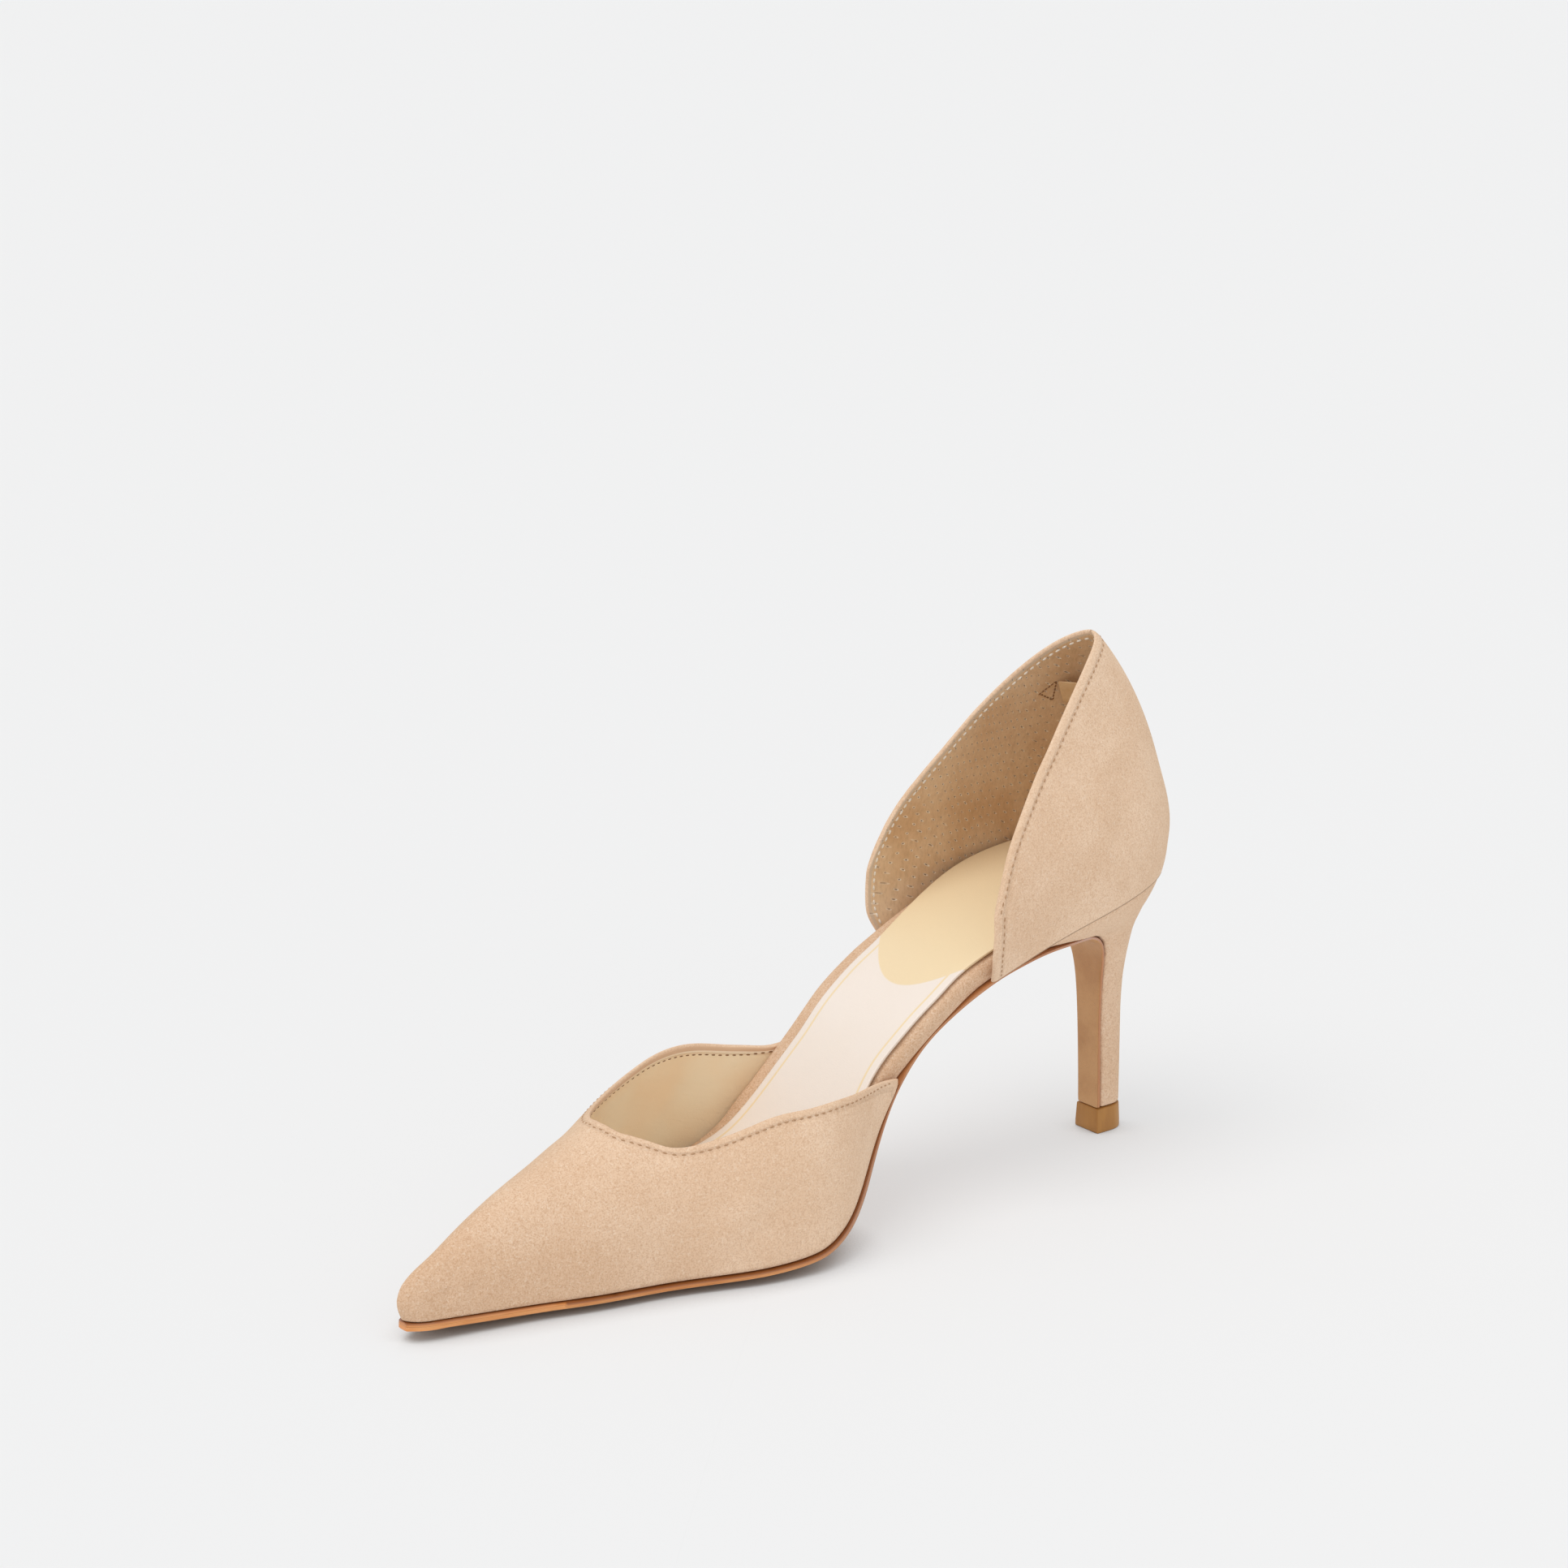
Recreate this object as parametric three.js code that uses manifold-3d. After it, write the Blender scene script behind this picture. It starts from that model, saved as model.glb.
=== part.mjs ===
// High heel pump, right shoe: pointed vamp, separate heel quarter, both sides cut away at the waist.
// Millimetres. +X runs to the toe, +Y to the big-toe side, +Z up. The shoe stands on z = 0.
import * as THREE from 'three';
import { mergeVertices } from 'three/addons/utils/BufferGeometryUtils.js';
import Module from 'manifold-3d';

const wasm = await Module();
wasm.setup();

// Driving sizes
const length = 240;            // back of the heel seat to the toe tip, along the floor
const ballWidth = 71;          // across the widest part of the forefoot
const seatWidth = 48.4;        // across the heel seat
const heelHeight = 73.5;       // floor to the back of the heel seat
const instep = 37.3;           // feather line to the crown at the throat
const counterHeight = 66;      // seat to the top of the quarter at the back
const upperWall = 1.7;         // suede, stiffener and lining together
const toeWall = 4.2;           // same, with the toe puff, at the very tip
const soleEdge = 2.0;          // outsole edge at the forefoot
const shankEdge = 1.05;        // outsole edge at the waist
const breastEdge = 1;          // the same leather, skived, down the heel breast
const treadCrown = 2;          // how far the tread bulges below its edge at the ball
const padWaist = 6;            // covered insole at the waist and seat
const padBall = 3.2;           // covered insole under the ball and toes
const sockThickness = 0.7;     // sock lining
const sockMargin = 1.1;        // pad left bare beside the sock on the big-toe side
const sockMarginWide = 5.8;    // and on the little-toe side of the waist
const liftHeight = 6.8;        // top lift
const liftFlare = 0.35;        // how much wider the lift is at the floor
const strapWidth = 6.5;        // heel grip strap inside the quarter
const strapThickness = 0.9;
const strapBow = 4;            // how far its middle stands behind its stitched ends
const strapUp = 0.71;          // its height over the seat, share of counterHeight
const strapReach = 0.52;       // where it is stitched, 0 at the back and 1 at the end of the round back
const gap = 0.3;               // clearance between neighbouring pieces

// Stations along the last. at: share of length from the back of the seat.
// rise: feather height, share of heelHeight. inner, outer: half widths, shares of half the ball width.
// ridge: sideways place of the crown, same share. crown: crown over the feather, share of instep.
const lastStations = [
  { at: 0.000, rise: 1.000, inner: 0.000, outer: 0.000, ridge: 0.00, crown: 1.60 },
  { at: 0.063, rise: 0.988, inner: 0.500, outer: 0.500, ridge: 0.00, crown: 1.60 },
  { at: 0.125, rise: 0.963, inner: 0.645, outer: 0.645, ridge: 0.00, crown: 1.60 },
  { at: 0.188, rise: 0.925, inner: 0.682, outer: 0.682, ridge: 0.00, crown: 1.60 },
  { at: 0.250, rise: 0.861, inner: 0.650, outer: 0.672, ridge: 0.00, crown: 1.60 },
  { at: 0.300, rise: 0.780, inner: 0.565, outer: 0.680, ridge: -0.02, crown: 1.60 },
  { at: 0.333, rise: 0.713, inner: 0.515, outer: 0.670, ridge: -0.04, crown: 1.60 },
  { at: 0.375, rise: 0.601, inner: 0.462, outer: 0.700, ridge: -0.06, crown: 1.62 },
  { at: 0.404, rise: 0.506, inner: 0.468, outer: 0.733, ridge: -0.08, crown: 1.64 },
  { at: 0.438, rise: 0.388, inner: 0.525, outer: 0.772, ridge: -0.09, crown: 1.66 },
  { at: 0.467, rise: 0.283, inner: 0.625, outer: 0.825, ridge: -0.10, crown: 1.67 },
  { at: 0.500, rise: 0.182, inner: 0.770, outer: 0.900, ridge: -0.10, crown: 1.66 },
  { at: 0.533, rise: 0.112, inner: 0.872, outer: 1.000, ridge: -0.10, crown: 1.61 },
  { at: 0.563, rise: 0.076, inner: 0.908, outer: 1.070, ridge: -0.09, crown: 1.54 },
  { at: 0.600, rise: 0.060, inner: 0.872, outer: 1.092, ridge: -0.08, crown: 1.43 },
  { at: 0.633, rise: 0.054, inner: 0.820, outer: 1.070, ridge: -0.07, crown: 1.32 },
  { at: 0.667, rise: 0.051, inner: 0.735, outer: 1.010, ridge: -0.06, crown: 1.21 },
  { at: 0.729, rise: 0.050, inner: 0.590, outer: 0.830, ridge: -0.04, crown: 1.015 },
  { at: 0.800, rise: 0.052, inner: 0.485, outer: 0.590, ridge: -0.02, crown: 0.835 },
  { at: 0.867, rise: 0.056, inner: 0.352, outer: 0.370, ridge: 0.00, crown: 0.680 },
  { at: 0.917, rise: 0.061, inner: 0.275, outer: 0.225, ridge: 0.02, crown: 0.525 },
  { at: 0.958, rise: 0.066, inner: 0.215, outer: 0.105, ridge: 0.05, crown: 0.385 },
  { at: 0.983, rise: 0.069, inner: 0.180, outer: 0.040, ridge: 0.06, crown: 0.305 },
  { at: 1.000, rise: 0.072, inner: 0.155, outer: -0.010, ridge: 0.07, crown: 0.230 },
];

// Vamp topline on each side, from the wing to the throat: height over the feather, share of the
// crown's own height there, so that it closes on the crown at the throat.
const vampTopline = [
  { at: 0.408, inner: 0.022, outer: 0.012 },
  { at: 0.422, inner: 0.095, outer: 0.052 },
  { at: 0.438, inner: 0.172, outer: 0.108 },
  { at: 0.467, inner: 0.315, outer: 0.262 },
  { at: 0.500, inner: 0.455, outer: 0.412 },
  { at: 0.533, inner: 0.565, outer: 0.548 },
  { at: 0.563, inner: 0.630, outer: 0.634 },
  { at: 0.600, inner: 0.692, outer: 0.702 },
  { at: 0.633, inner: 0.714, outer: 0.738 },
  { at: 0.667, inner: 0.738, outer: 0.785 },
  { at: 0.700, inner: 0.788, outer: 0.838 },
  { at: 0.720, inner: 0.885, outer: 0.892 },
  { at: 0.733, inner: 0.950, outer: 0.948 },
  { at: 0.739, inner: 0.975, outer: 0.974 },
  { at: 0.742, inner: 1.000, outer: 1.000 },
];

// Quarter by height over the seat (share of counterHeight). lean: how far the back stands forward,
// share of counterHeight. half: half width, share of half the seat width.
const quarterLevels = [
  { up: 0.00, lean: 0.000, half: 1.000 },
  { up: 0.08, lean: -0.024, half: 1.035 },
  { up: 0.16, lean: -0.036, half: 1.050 },
  { up: 0.24, lean: -0.034, half: 1.045 },
  { up: 0.33, lean: -0.016, half: 1.020 },
  { up: 0.43, lean: 0.015, half: 0.965 },
  { up: 0.53, lean: 0.040, half: 0.885 },
  { up: 0.64, lean: 0.078, half: 0.780 },
  { up: 0.75, lean: 0.130, half: 0.675 },
  { up: 0.88, lean: 0.212, half: 0.565 },
  { up: 1.00, lean: 0.312, half: 0.480 },
];

// Quarter topline seen from the side, from the front corner up to the back.
// at: share of length. up: height over the seat's back, share of counterHeight.
const quarterTopline = [
  { at: 0.311, up: 0.060 },
  { at: 0.300, up: 0.180 },
  { at: 0.285, up: 0.300 },
  { at: 0.263, up: 0.410 },
  { at: 0.228, up: 0.560 },
  { at: 0.190, up: 0.710 },
  { at: 0.148, up: 0.850 },
  { at: 0.115, up: 0.940 },
  { at: 0.086, up: 1.000 },
];

// Path of the outsole's upper face behind the waist, down the heel breast to the lift.
// at: share of length. rise: share of heelHeight. half: half width, share of half the seat width.
const breastPath = [
  { at: 0.292, rise: 0.793, half: 0.800 },
  { at: 0.275, rise: 0.820, half: 0.835 },
  { at: 0.252, rise: 0.845, half: 0.872 },
  { at: 0.228, rise: 0.858, half: 0.860 },
  { at: 0.203, rise: 0.861, half: 0.825 },
  { at: 0.175, rise: 0.851, half: 0.745 },
  { at: 0.146, rise: 0.834, half: 0.610 },
  { at: 0.121, rise: 0.814, half: 0.465 },
  { at: 0.101, rise: 0.790, half: 0.365 },
  { at: 0.088, rise: 0.755, half: 0.315 },
  { at: 0.081, rise: 0.700, half: 0.270 },
  { at: 0.0785, rise: 0.620, half: 0.215 },
  { at: 0.0775, rise: 0.500, half: 0.182 },
  { at: 0.0760, rise: 0.340, half: 0.170 },
  { at: 0.0745, rise: 0.200, half: 0.166 },
  { at: 0.0740, rise: 0.097, half: 0.166 },
];

// Heel block by height, share of heelHeight. back: share of length. half: share of half the seat width.
// reach: length of the round back, share of length.
const heelLevels = [
  { rise: 0.000, back: 0.0375, half: 0.172, reach: 0.022 },
  { rise: 0.450, back: 0.0375, half: 0.172, reach: 0.022 },
  { rise: 0.560, back: 0.0362, half: 0.192, reach: 0.026 },
  { rise: 0.650, back: 0.0325, half: 0.230, reach: 0.033 },
  { rise: 0.720, back: 0.0280, half: 0.285, reach: 0.045 },
  { rise: 0.775, back: 0.0235, half: 0.360, reach: 0.066 },
  { rise: 0.815, back: 0.0190, half: 0.500, reach: 0.105 },
  { rise: 0.843, back: 0.0180, half: 0.690, reach: 0.160 },
  { rise: 0.872, back: 0.0160, half: 0.835, reach: 0.200 },
  { rise: 0.906, back: 0.0125, half: 0.925, reach: 0.204 },
  { rise: 0.945, back: 0.0075, half: 0.975, reach: 0.196 },
  { rise: 1.010, back: -0.0010, half: 1.000, reach: 0.188 },
];

// Forms that are not read off a table
const seatReach = 0.188 * length;      // length of the round back of the seat
const seatRound = 2.1;                 // squareness of the seat's plan
const noseLength = 0.022 * length;     // rounding of the toe's tip in plan
const innerRound = 2.25;               // squareness of the last's section, big-toe side
const outerRound = 1.78;               // and little-toe side
const toeRound = 1.95;                 // and at the toe, alike on both sides
const wallBulge = 0.03 * instep;       // how far the side walls swell over the feather
const noseSwell = 1.3;                 // how far the toe's tip swells past its feather
const rowSweep = 0.075;                // how far the sections lean forward at the feather by the throat
const heelFront = 0.25;                // where the heel's wedge ends, share of length
const bandEase = 0.4;                  // most of a band's height that its rounded top edge may take
const bandTuck = 0.25;                 // how far a band's foot is drawn in, share of that rounding
const bandFlank = 0.25;                // height of the widest part of its side, share of its own height
const bandBack = 0.4;                  // a band's back end stands this far inside the quarter
const cornerCut = 4;                   // how far the quarter's lower front corner stands back
const frontFlare = 1.9;                // how far the quarter's front stands off on each side
const wingStart = vampTopline[0].at;
const throatAt = vampTopline[vampTopline.length - 1].at;

// Smooth value of a column at a place: cubic between rows, with no overshoot.
function column(rows, key, name, place) {
  const rising = rows[rows.length - 1][key] > rows[0][key];
  const list = rising ? rows : rows.slice().reverse();
  const last = list.length - 1;
  if (place <= list[0][key]) return list[0][name];
  if (place >= list[last][key]) return list[last][name];
  let i = 0;
  while (place > list[i + 1][key]) i += 1;
  const slope = (k) => (list[k + 1][name] - list[k][name]) / (list[k + 1][key] - list[k][key]);
  const tangent = (k) => {
    if (k === 0) return slope(0);
    if (k === last) return slope(last - 1);
    const before = slope(k - 1);
    const after = slope(k);
    return before * after <= 0 ? 0 : (2 * before * after) / (before + after);
  };
  const span = list[i + 1][key] - list[i][key];
  const t = (place - list[i][key]) / span;
  const h = 1 - t;
  const start = list[i][name] * (1 + 2 * t) * h * h + span * tangent(i) * t * h * h;
  const end = list[i + 1][name] * (3 - 2 * t) * t * t - span * tangent(i + 1) * t * t * h;
  return start + end;
}

const lastAt = (name, x) => column(lastStations, 'at', name, x / length);
const featherZ = (x) => heelHeight * lastAt('rise', x);
const smooth = (t) => {
  const c = Math.min(1, Math.max(0, t));
  return c * c * (3 - 2 * c);
};

// Slope of the feather line, as the unit direction towards the toe and the upward normal
function featherFrame(x) {
  const step = 0.5;
  const along = new THREE.Vector3(2 * step, 0, featherZ(x + step) - featherZ(x - step)).normalize();
  return { along, up: new THREE.Vector3(-along.z, 0, along.x) };
}

// Edge of the upper at the feather line; side is +1 towards the big toe, -1 away from it
function featherY(x, side) {
  if (x < seatReach) {
    const t = Math.max(0, 1 - x / seatReach);
    return side * (seatWidth / 2) * Math.pow(1 - Math.pow(t, seatRound), 1 / seatRound);
  }
  const ridge = ridgeY(x);
  const edge = side * (ballWidth / 2) * lastAt(side > 0 ? 'inner' : 'outer', x);
  const noseStart = length - noseLength;
  if (x <= noseStart) return edge;
  const t = Math.min(1, (x - noseStart) / noseLength);
  return ridge + (edge - ridge) * Math.sqrt(1 - t * t);
}

function ridgeY(x) {
  return (ballWidth / 2) * lastAt('ridge', x);
}

// A mesh as one closed body from rings of points that all have the same count
function loft(rings) {
  const count = rings[0].length;
  const points = rings.flat();
  const faces = [];
  for (let i = 0; i < rings.length - 1; i += 1) {
    for (let j = 0; j < count; j += 1) {
      const a = i * count + j;
      const b = i * count + ((j + 1) % count);
      faces.push([a, b, b + count], [a, b + count, a + count]);
    }
  }
  for (const start of [0, (rings.length - 1) * count]) {
    const centre = points.length;
    const ring = points.slice(start, start + count);
    points.push(ring.reduce((sum, p) => sum.add(p), new THREE.Vector3()).divideScalar(count));
    for (let j = 0; j < count; j += 1) {
      const a = start + j;
      const b = start + ((j + 1) % count);
      faces.push(start === 0 ? [centre, b, a] : [centre, a, b]);
    }
  }
  return solidGeometry(points, faces);
}

// Closed geometry with merged corners, empty faces dropped and all faces turned outwards
function solidGeometry(points, faces) {
  const raw = new THREE.BufferGeometry();
  raw.setAttribute('position', new THREE.Float32BufferAttribute(points.flatMap((p) => [p.x, p.y, p.z]), 3));
  raw.setIndex(faces.flat());
  const merged = mergeVertices(raw, 1e-4);
  const index = Array.from(merged.index.array);
  const kept = [];
  for (let i = 0; i < index.length; i += 3) {
    const [a, b, c] = index.slice(i, i + 3);
    if (a !== b && b !== c && a !== c) kept.push(a, b, c);
  }
  merged.setIndex(signedVolume(merged, kept) < 0 ? kept.reverse() : kept);
  return merged;
}

function signedVolume(geometry, index) {
  const position = geometry.attributes.position;
  const [a, b, c] = [new THREE.Vector3(), new THREE.Vector3(), new THREE.Vector3()];
  let volume = 0;
  for (let i = 0; i < index.length; i += 3) {
    a.fromBufferAttribute(position, index[i]);
    b.fromBufferAttribute(position, index[i + 1]);
    c.fromBufferAttribute(position, index[i + 2]);
    volume += a.dot(b.cross(c)) / 6;
  }
  return volume;
}

function toSolid(geometry) {
  const vertProperties = new Float32Array(geometry.attributes.position.array);
  const triVerts = new Uint32Array(geometry.index.array);
  return new wasm.Manifold(new wasm.Mesh({ numProp: 3, vertProperties, triVerts }));
}

function toGeometry(solid) {
  const mesh = solid.getMesh();
  const geometry = new THREE.BufferGeometry();
  geometry.setAttribute('position', new THREE.Float32BufferAttribute(Array.from(mesh.vertProperties), 3));
  geometry.setIndex(Array.from(mesh.triVerts));
  return geometry;
}

// Faces of a sheet of points; flip turns them over
function sheetFaces(name, rows, columns, flip) {
  const faces = [];
  for (let i = 0; i < rows - 1; i += 1) {
    for (let j = 0; j < columns - 1; j += 1) {
      const [a, b, c, d] = [name(i, j), name(i + 1, j), name(i + 1, j + 1), name(i, j + 1)];
      faces.push(flip ? [a, c, b] : [a, b, c], flip ? [a, d, c] : [a, c, d]);
    }
  }
  return faces;
}

// A wall between two sheets of points, closed along all four borders
function wallGeometry(outer, inner) {
  const rows = outer.length;
  const columns = outer[0].length;
  const points = [...outer.flat(), ...inner.flat()];
  const out = (i, j) => i * columns + j;
  const inn = (i, j) => rows * columns + i * columns + j;
  const faces = [...sheetFaces(out, rows, columns, false), ...sheetFaces(inn, rows, columns, true)];
  for (let i = 0; i < rows - 1; i += 1) {
    faces.push([out(i, 0), inn(i, 0), inn(i + 1, 0)], [out(i, 0), inn(i + 1, 0), out(i + 1, 0)]);
    const j = columns - 1;
    faces.push([out(i, j), inn(i + 1, j), inn(i, j)], [out(i, j), out(i + 1, j), inn(i + 1, j)]);
  }
  for (let j = 0; j < columns - 1; j += 1) {
    faces.push([out(0, j), inn(0, j + 1), inn(0, j)], [out(0, j), out(0, j + 1), inn(0, j + 1)]);
    const i = rows - 1;
    faces.push([out(i, j), inn(i, j), inn(i, j + 1)], [out(i, j), inn(i, j + 1), out(i, j + 1)]);
  }
  return solidGeometry(points, faces);
}

function sectionRound(x, side) {
  const toe = smooth((x / length - 0.8) / 0.16);
  return (side > 0 ? innerRound : outerRound) * (1 - toe) + toeRound * toe;
}

// Point on the last over the forefoot. turn 0 is the feather, 1 the crown; inset shrinks the section.
function vampPoint(x, side, turn, inset) {
  const round = sectionRound(x, side);
  const base = featherZ(x) + gap;
  const crown = instep * lastAt('crown', x) - inset;
  const half = Math.max(0, Math.abs(featherY(x, side) - ridgeY(x)) - inset);
  const angle = (turn * Math.PI) / 2;
  const across = Math.pow(Math.max(0, Math.cos(angle)), 2 / round);
  const height = Math.pow(Math.sin(angle), 2 / round);
  const swell = wallBulge * Math.sin(Math.PI * height) * smooth(half / (ballWidth * 0.3));
  const nose = noseSwell * Math.sin(Math.PI * Math.min(1, height)) * smooth((x / length - 0.95) / 0.05);
  return new THREE.Vector3(x + nose, ridgeY(x) + side * (half * across + swell), base + crown * height);
}

// How far round its section a station runs before the topline cuts it: 1 is the whole way to the crown
function vampTurn(x, side) {
  if (x >= throatAt * length) return 1;
  const share = column(vampTopline, 'at', side > 0 ? 'inner' : 'outer', x / length);
  return Math.asin(Math.pow(share, sectionRound(x, side) / 2)) / (Math.PI / 2);
}

// Rows of the vamp: where each starts at the feather and where it ends, on the topline or the crown.
// The rows bunch up at the throat and at the tip, where the form turns fastest.
function vampRows() {
  const wing = wingStart * length;
  const throat = throatAt * length;
  const featherThroat = throat + rowSweep * length;
  const back = 22;
  const front = 18;
  const rows = [];
  for (let i = 0; i < back; i += 1) {
    const t = i / back;
    rows.push({ foot: wing + (featherThroat - wing) * t, top: wing + (throat - wing) * t * (2 - t) });
  }
  for (let i = 0; i <= front; i += 1) {
    const t = i / front;
    const ease = 0.35 * t + 0.65 * Math.sin((t * Math.PI) / 2);
    rows.push({ foot: featherThroat + (length - featherThroat) * ease, top: throat + (length - throat) * ease });
  }
  return rows;
}

// The inner skin stops short of the tip, where the toe puff is
function toeShift(x) {
  const forward = smooth((x / length - throatAt) / (1 - throatAt));
  return x - toeWall * forward * forward;
}

function vampGeometry() {
  const rows = vampRows();
  const turns = 11;
  const points = [];
  const names = [0, upperWall].map((inset) => rows.map((row, i) => {
    const skin = {};
    for (const side of [1, -1]) {
      const end = vampTurn(row.top, side);
      skin[side] = Array.from({ length: turns + 1 }, (_, j) => {
        const share = j / turns;
        const x = row.foot + (row.top - row.foot) * share;
        const place = inset ? toeShift(x) : x;
        const point = vampPoint(place, side, end * share, inset);
        if (i === rows.length - 1) point.y = ridgeY(place);
        return points.push(point) - 1;
      });
    }
    return skin;
  }));
  const faces = [];
  for (const [layer, skin] of names.entries()) {
    for (const side of [1, -1]) {
      const flip = (side === 1) !== (layer === 1);
      faces.push(...sheetFaces((i, j) => skin[i][side][j], rows.length, turns + 1, flip));
    }
  }
  faces.push(...vampRims(names, rows.findIndex((row) => row.top >= throatAt * length)));
  return solidGeometry(points, faces);
}

// Rims of the vamp: feather edge, topline back of the throat, and the ends of the wings
function vampRims(names, throat) {
  const [out, inn] = names;
  const top = out[0][1].length - 1;
  const faces = [];
  for (const side of [1, -1]) {
    const quad = (a, b, c, d) => faces.push(...(side === 1
      ? [[a, b, c], [a, c, d]] : [[a, c, b], [a, d, c]]));
    for (let i = 0; i < out.length - 1; i += 1) {
      quad(out[i][side][0], out[i + 1][side][0], inn[i + 1][side][0], inn[i][side][0]);
      if (i < throat) {
        quad(out[i + 1][side][top], out[i][side][top], inn[i][side][top], inn[i + 1][side][top]);
      }
    }
    for (let j = 0; j < top; j += 1) {
      quad(out[0][side][j + 1], out[0][side][j], inn[0][side][j], inn[0][side][j + 1]);
    }
  }
  return faces;
}

// Half width of the quarter at a height over the seat: it leaves the feather edge quickly, and flares
// towards its front
function quarterHalf(x, side, up) {
  const level = (seatWidth / 2) * column(quarterLevels, 'up', 'half', up / counterHeight);
  if (x <= seatReach) return level;
  const feather = Math.abs(featherY(x, side)) - seatWidth / 2;
  const leave = Math.exp(-up / (0.12 * counterHeight));
  return level + feather * leave + frontFlare * smooth((x - seatReach) / (0.12 * length)) * (1 - leave);
}

// Point of the quarter. round 0 is the back, 1 the end of the round back; past 1 it runs forward.
function quarterPoint(round, side, z) {
  const rough = seatReach * round;
  const up = z - featherZ(Math.min(rough, seatReach));
  const back = counterHeight * column(quarterLevels, 'up', 'lean', up / counterHeight);
  if (round <= 1) {
    const angle = (round * Math.PI) / 2;
    const x = back + seatReach * (1 - Math.pow(Math.cos(angle), 2 / seatRound));
    const half = quarterHalf(Math.min(x, seatReach), side, up);
    return new THREE.Vector3(x, side * half * Math.pow(Math.sin(angle), 2 / seatRound), z);
  }
  const corner = cornerCut * Math.pow(1 - smooth(up / (0.2 * counterHeight) + 0.9), 1.5);
  const forward = length * quarterTopline[0].at - corner - seatReach;
  const x = seatReach + back * smooth(2 - round) + forward * (round - 1);
  return new THREE.Vector3(x, side * quarterHalf(x, side, z - featherZ(x)), z);
}

// Height at which a rib of the quarter meets the topline
function quarterTop(round, side) {
  const line = (x) => heelHeight + counterHeight * column(quarterTopline, 'at', 'up', x / length);
  let low = heelHeight * 0.82;
  let high = heelHeight + counterHeight;
  for (let k = 0; k < 30; k += 1) {
    const mid = (low + high) / 2;
    if (mid < line(quarterPoint(round, side, mid).x)) low = mid;
    else high = mid;
  }
  return (low + high) / 2;
}

// Height at which a rib stands on the feather line
function quarterFoot(round, side) {
  let z = featherZ(seatReach * Math.min(round, 1));
  for (let k = 0; k < 12; k += 1) {
    const { x } = quarterPoint(round, side, z);
    z = featherZ(Math.max(0, x)) + gap / featherFrame(x).along.x;
  }
  return z;
}

function quarterGeometry() {
  const ribs = 46;
  const levels = 13;
  const outer = [];
  for (let i = 0; i <= ribs; i += 1) {
    const t = (2 * i) / ribs - 1;
    const side = t <= 0 ? 1 : -1;
    const round = 2 * Math.pow(Math.abs(t), 1.25);
    const top = quarterTop(round, side);
    const bottom = quarterFoot(round, side);
    outer.push(Array.from({ length: levels + 1 }, (_, j) => (
      quarterPoint(round, side, bottom + (top - bottom) * (j / levels)))));
  }
  return wallGeometry(outer, offsetSheet(outer, upperWall));
}

// Sheet moved inwards along its own normals
function offsetSheet(sheet, distance) {
  const rows = sheet.length;
  const columns = sheet[0].length;
  return sheet.map((row, i) => row.map((p, j) => {
    const along = sheet[Math.min(rows - 1, i + 1)][j].clone().sub(sheet[Math.max(0, i - 1)][j]);
    const up = row[Math.min(columns - 1, j + 1)].clone().sub(row[Math.max(0, j - 1)]);
    const normal = up.cross(along).normalize();
    const moved = p.clone().addScaledVector(normal, distance);
    if (j === 0) moved.z = p.z;
    return moved;
  }));
}

// Insole board with its suede cover: a pad that follows the feather line inside the upper
function padHalf(x, side, inset) {
  const bareWaist = smooth((x / length - 0.31) / 0.03) * smooth((0.405 - x / length) / 0.03);
  const room = (upperWall + gap) * (1 - bareWaist) + 0.2 * bareWaist;
  return Math.abs(featherY(x, side)) - room - inset;
}

// How far the sock lining stops inside the pad's edge; in the seat it reaches the quarter's swell
function sockInset(x, side) {
  const waist = smooth((x / length - 0.15) / 0.2) * smooth((0.6 - x / length) / 0.12);
  const seat = smooth((0.3 - x / length) / 0.2);
  return (side > 0 ? sockMargin : sockMargin + (sockMarginWide - sockMargin) * waist) * (1 - seat) - 0.4 * seat;
}

const padInset = () => 0.2;

function padThickness(x) {
  return padBall + (padWaist - padBall) * smooth((0.56 - x / length) / 0.14);
}

function padStations(front) {
  const start = upperWall + gap + bandBack;
  const count = 46;
  const list = [];
  for (let i = 0; i <= count; i += 1) {
    const t = i / count;
    list.push(start + (front - start) * (t - 0.12 * Math.sin(2 * Math.PI * t) / (2 * Math.PI)));
  }
  return list;
}

// A flat-topped band along the feather line, from lowest to highest over it, with eased edges
function bandGeometry(front, inset, low, high, ease) {
  const back = upperWall + gap + bandBack;
  const stations = padStations(front).map((x) => Math.max(x, back + bandBack / 2));
  const rings = stations.map((x) => {
    const { up } = featherFrame(x);
    const base = new THREE.Vector3(x, 0, featherZ(x));
    const top = high(x);
    const bottom = low(x);
    const rise = top - bottom;
    const left = bandHalf(x, 1, inset(x, 1), front, back);
    const right = bandHalf(x, -1, inset(x, -1), front, back);
    const at = (y, h) => base.clone().addScaledVector(up, h).setY(y);
    const corner = Math.min(ease, rise * bandEase);
    const tuck = corner * bandTuck;
    return [
      at(left - tuck, bottom), at(left, bottom + rise * bandFlank), at(left, top - corner),
      at(left - corner, top), at((left + right) / 2, top),
      at(right + corner, top), at(right, top - corner), at(right, bottom + rise * bandFlank),
      at(right + tuck, bottom), at((left + right) / 2, bottom),
    ];
  });
  return loft(rings);
}

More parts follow.
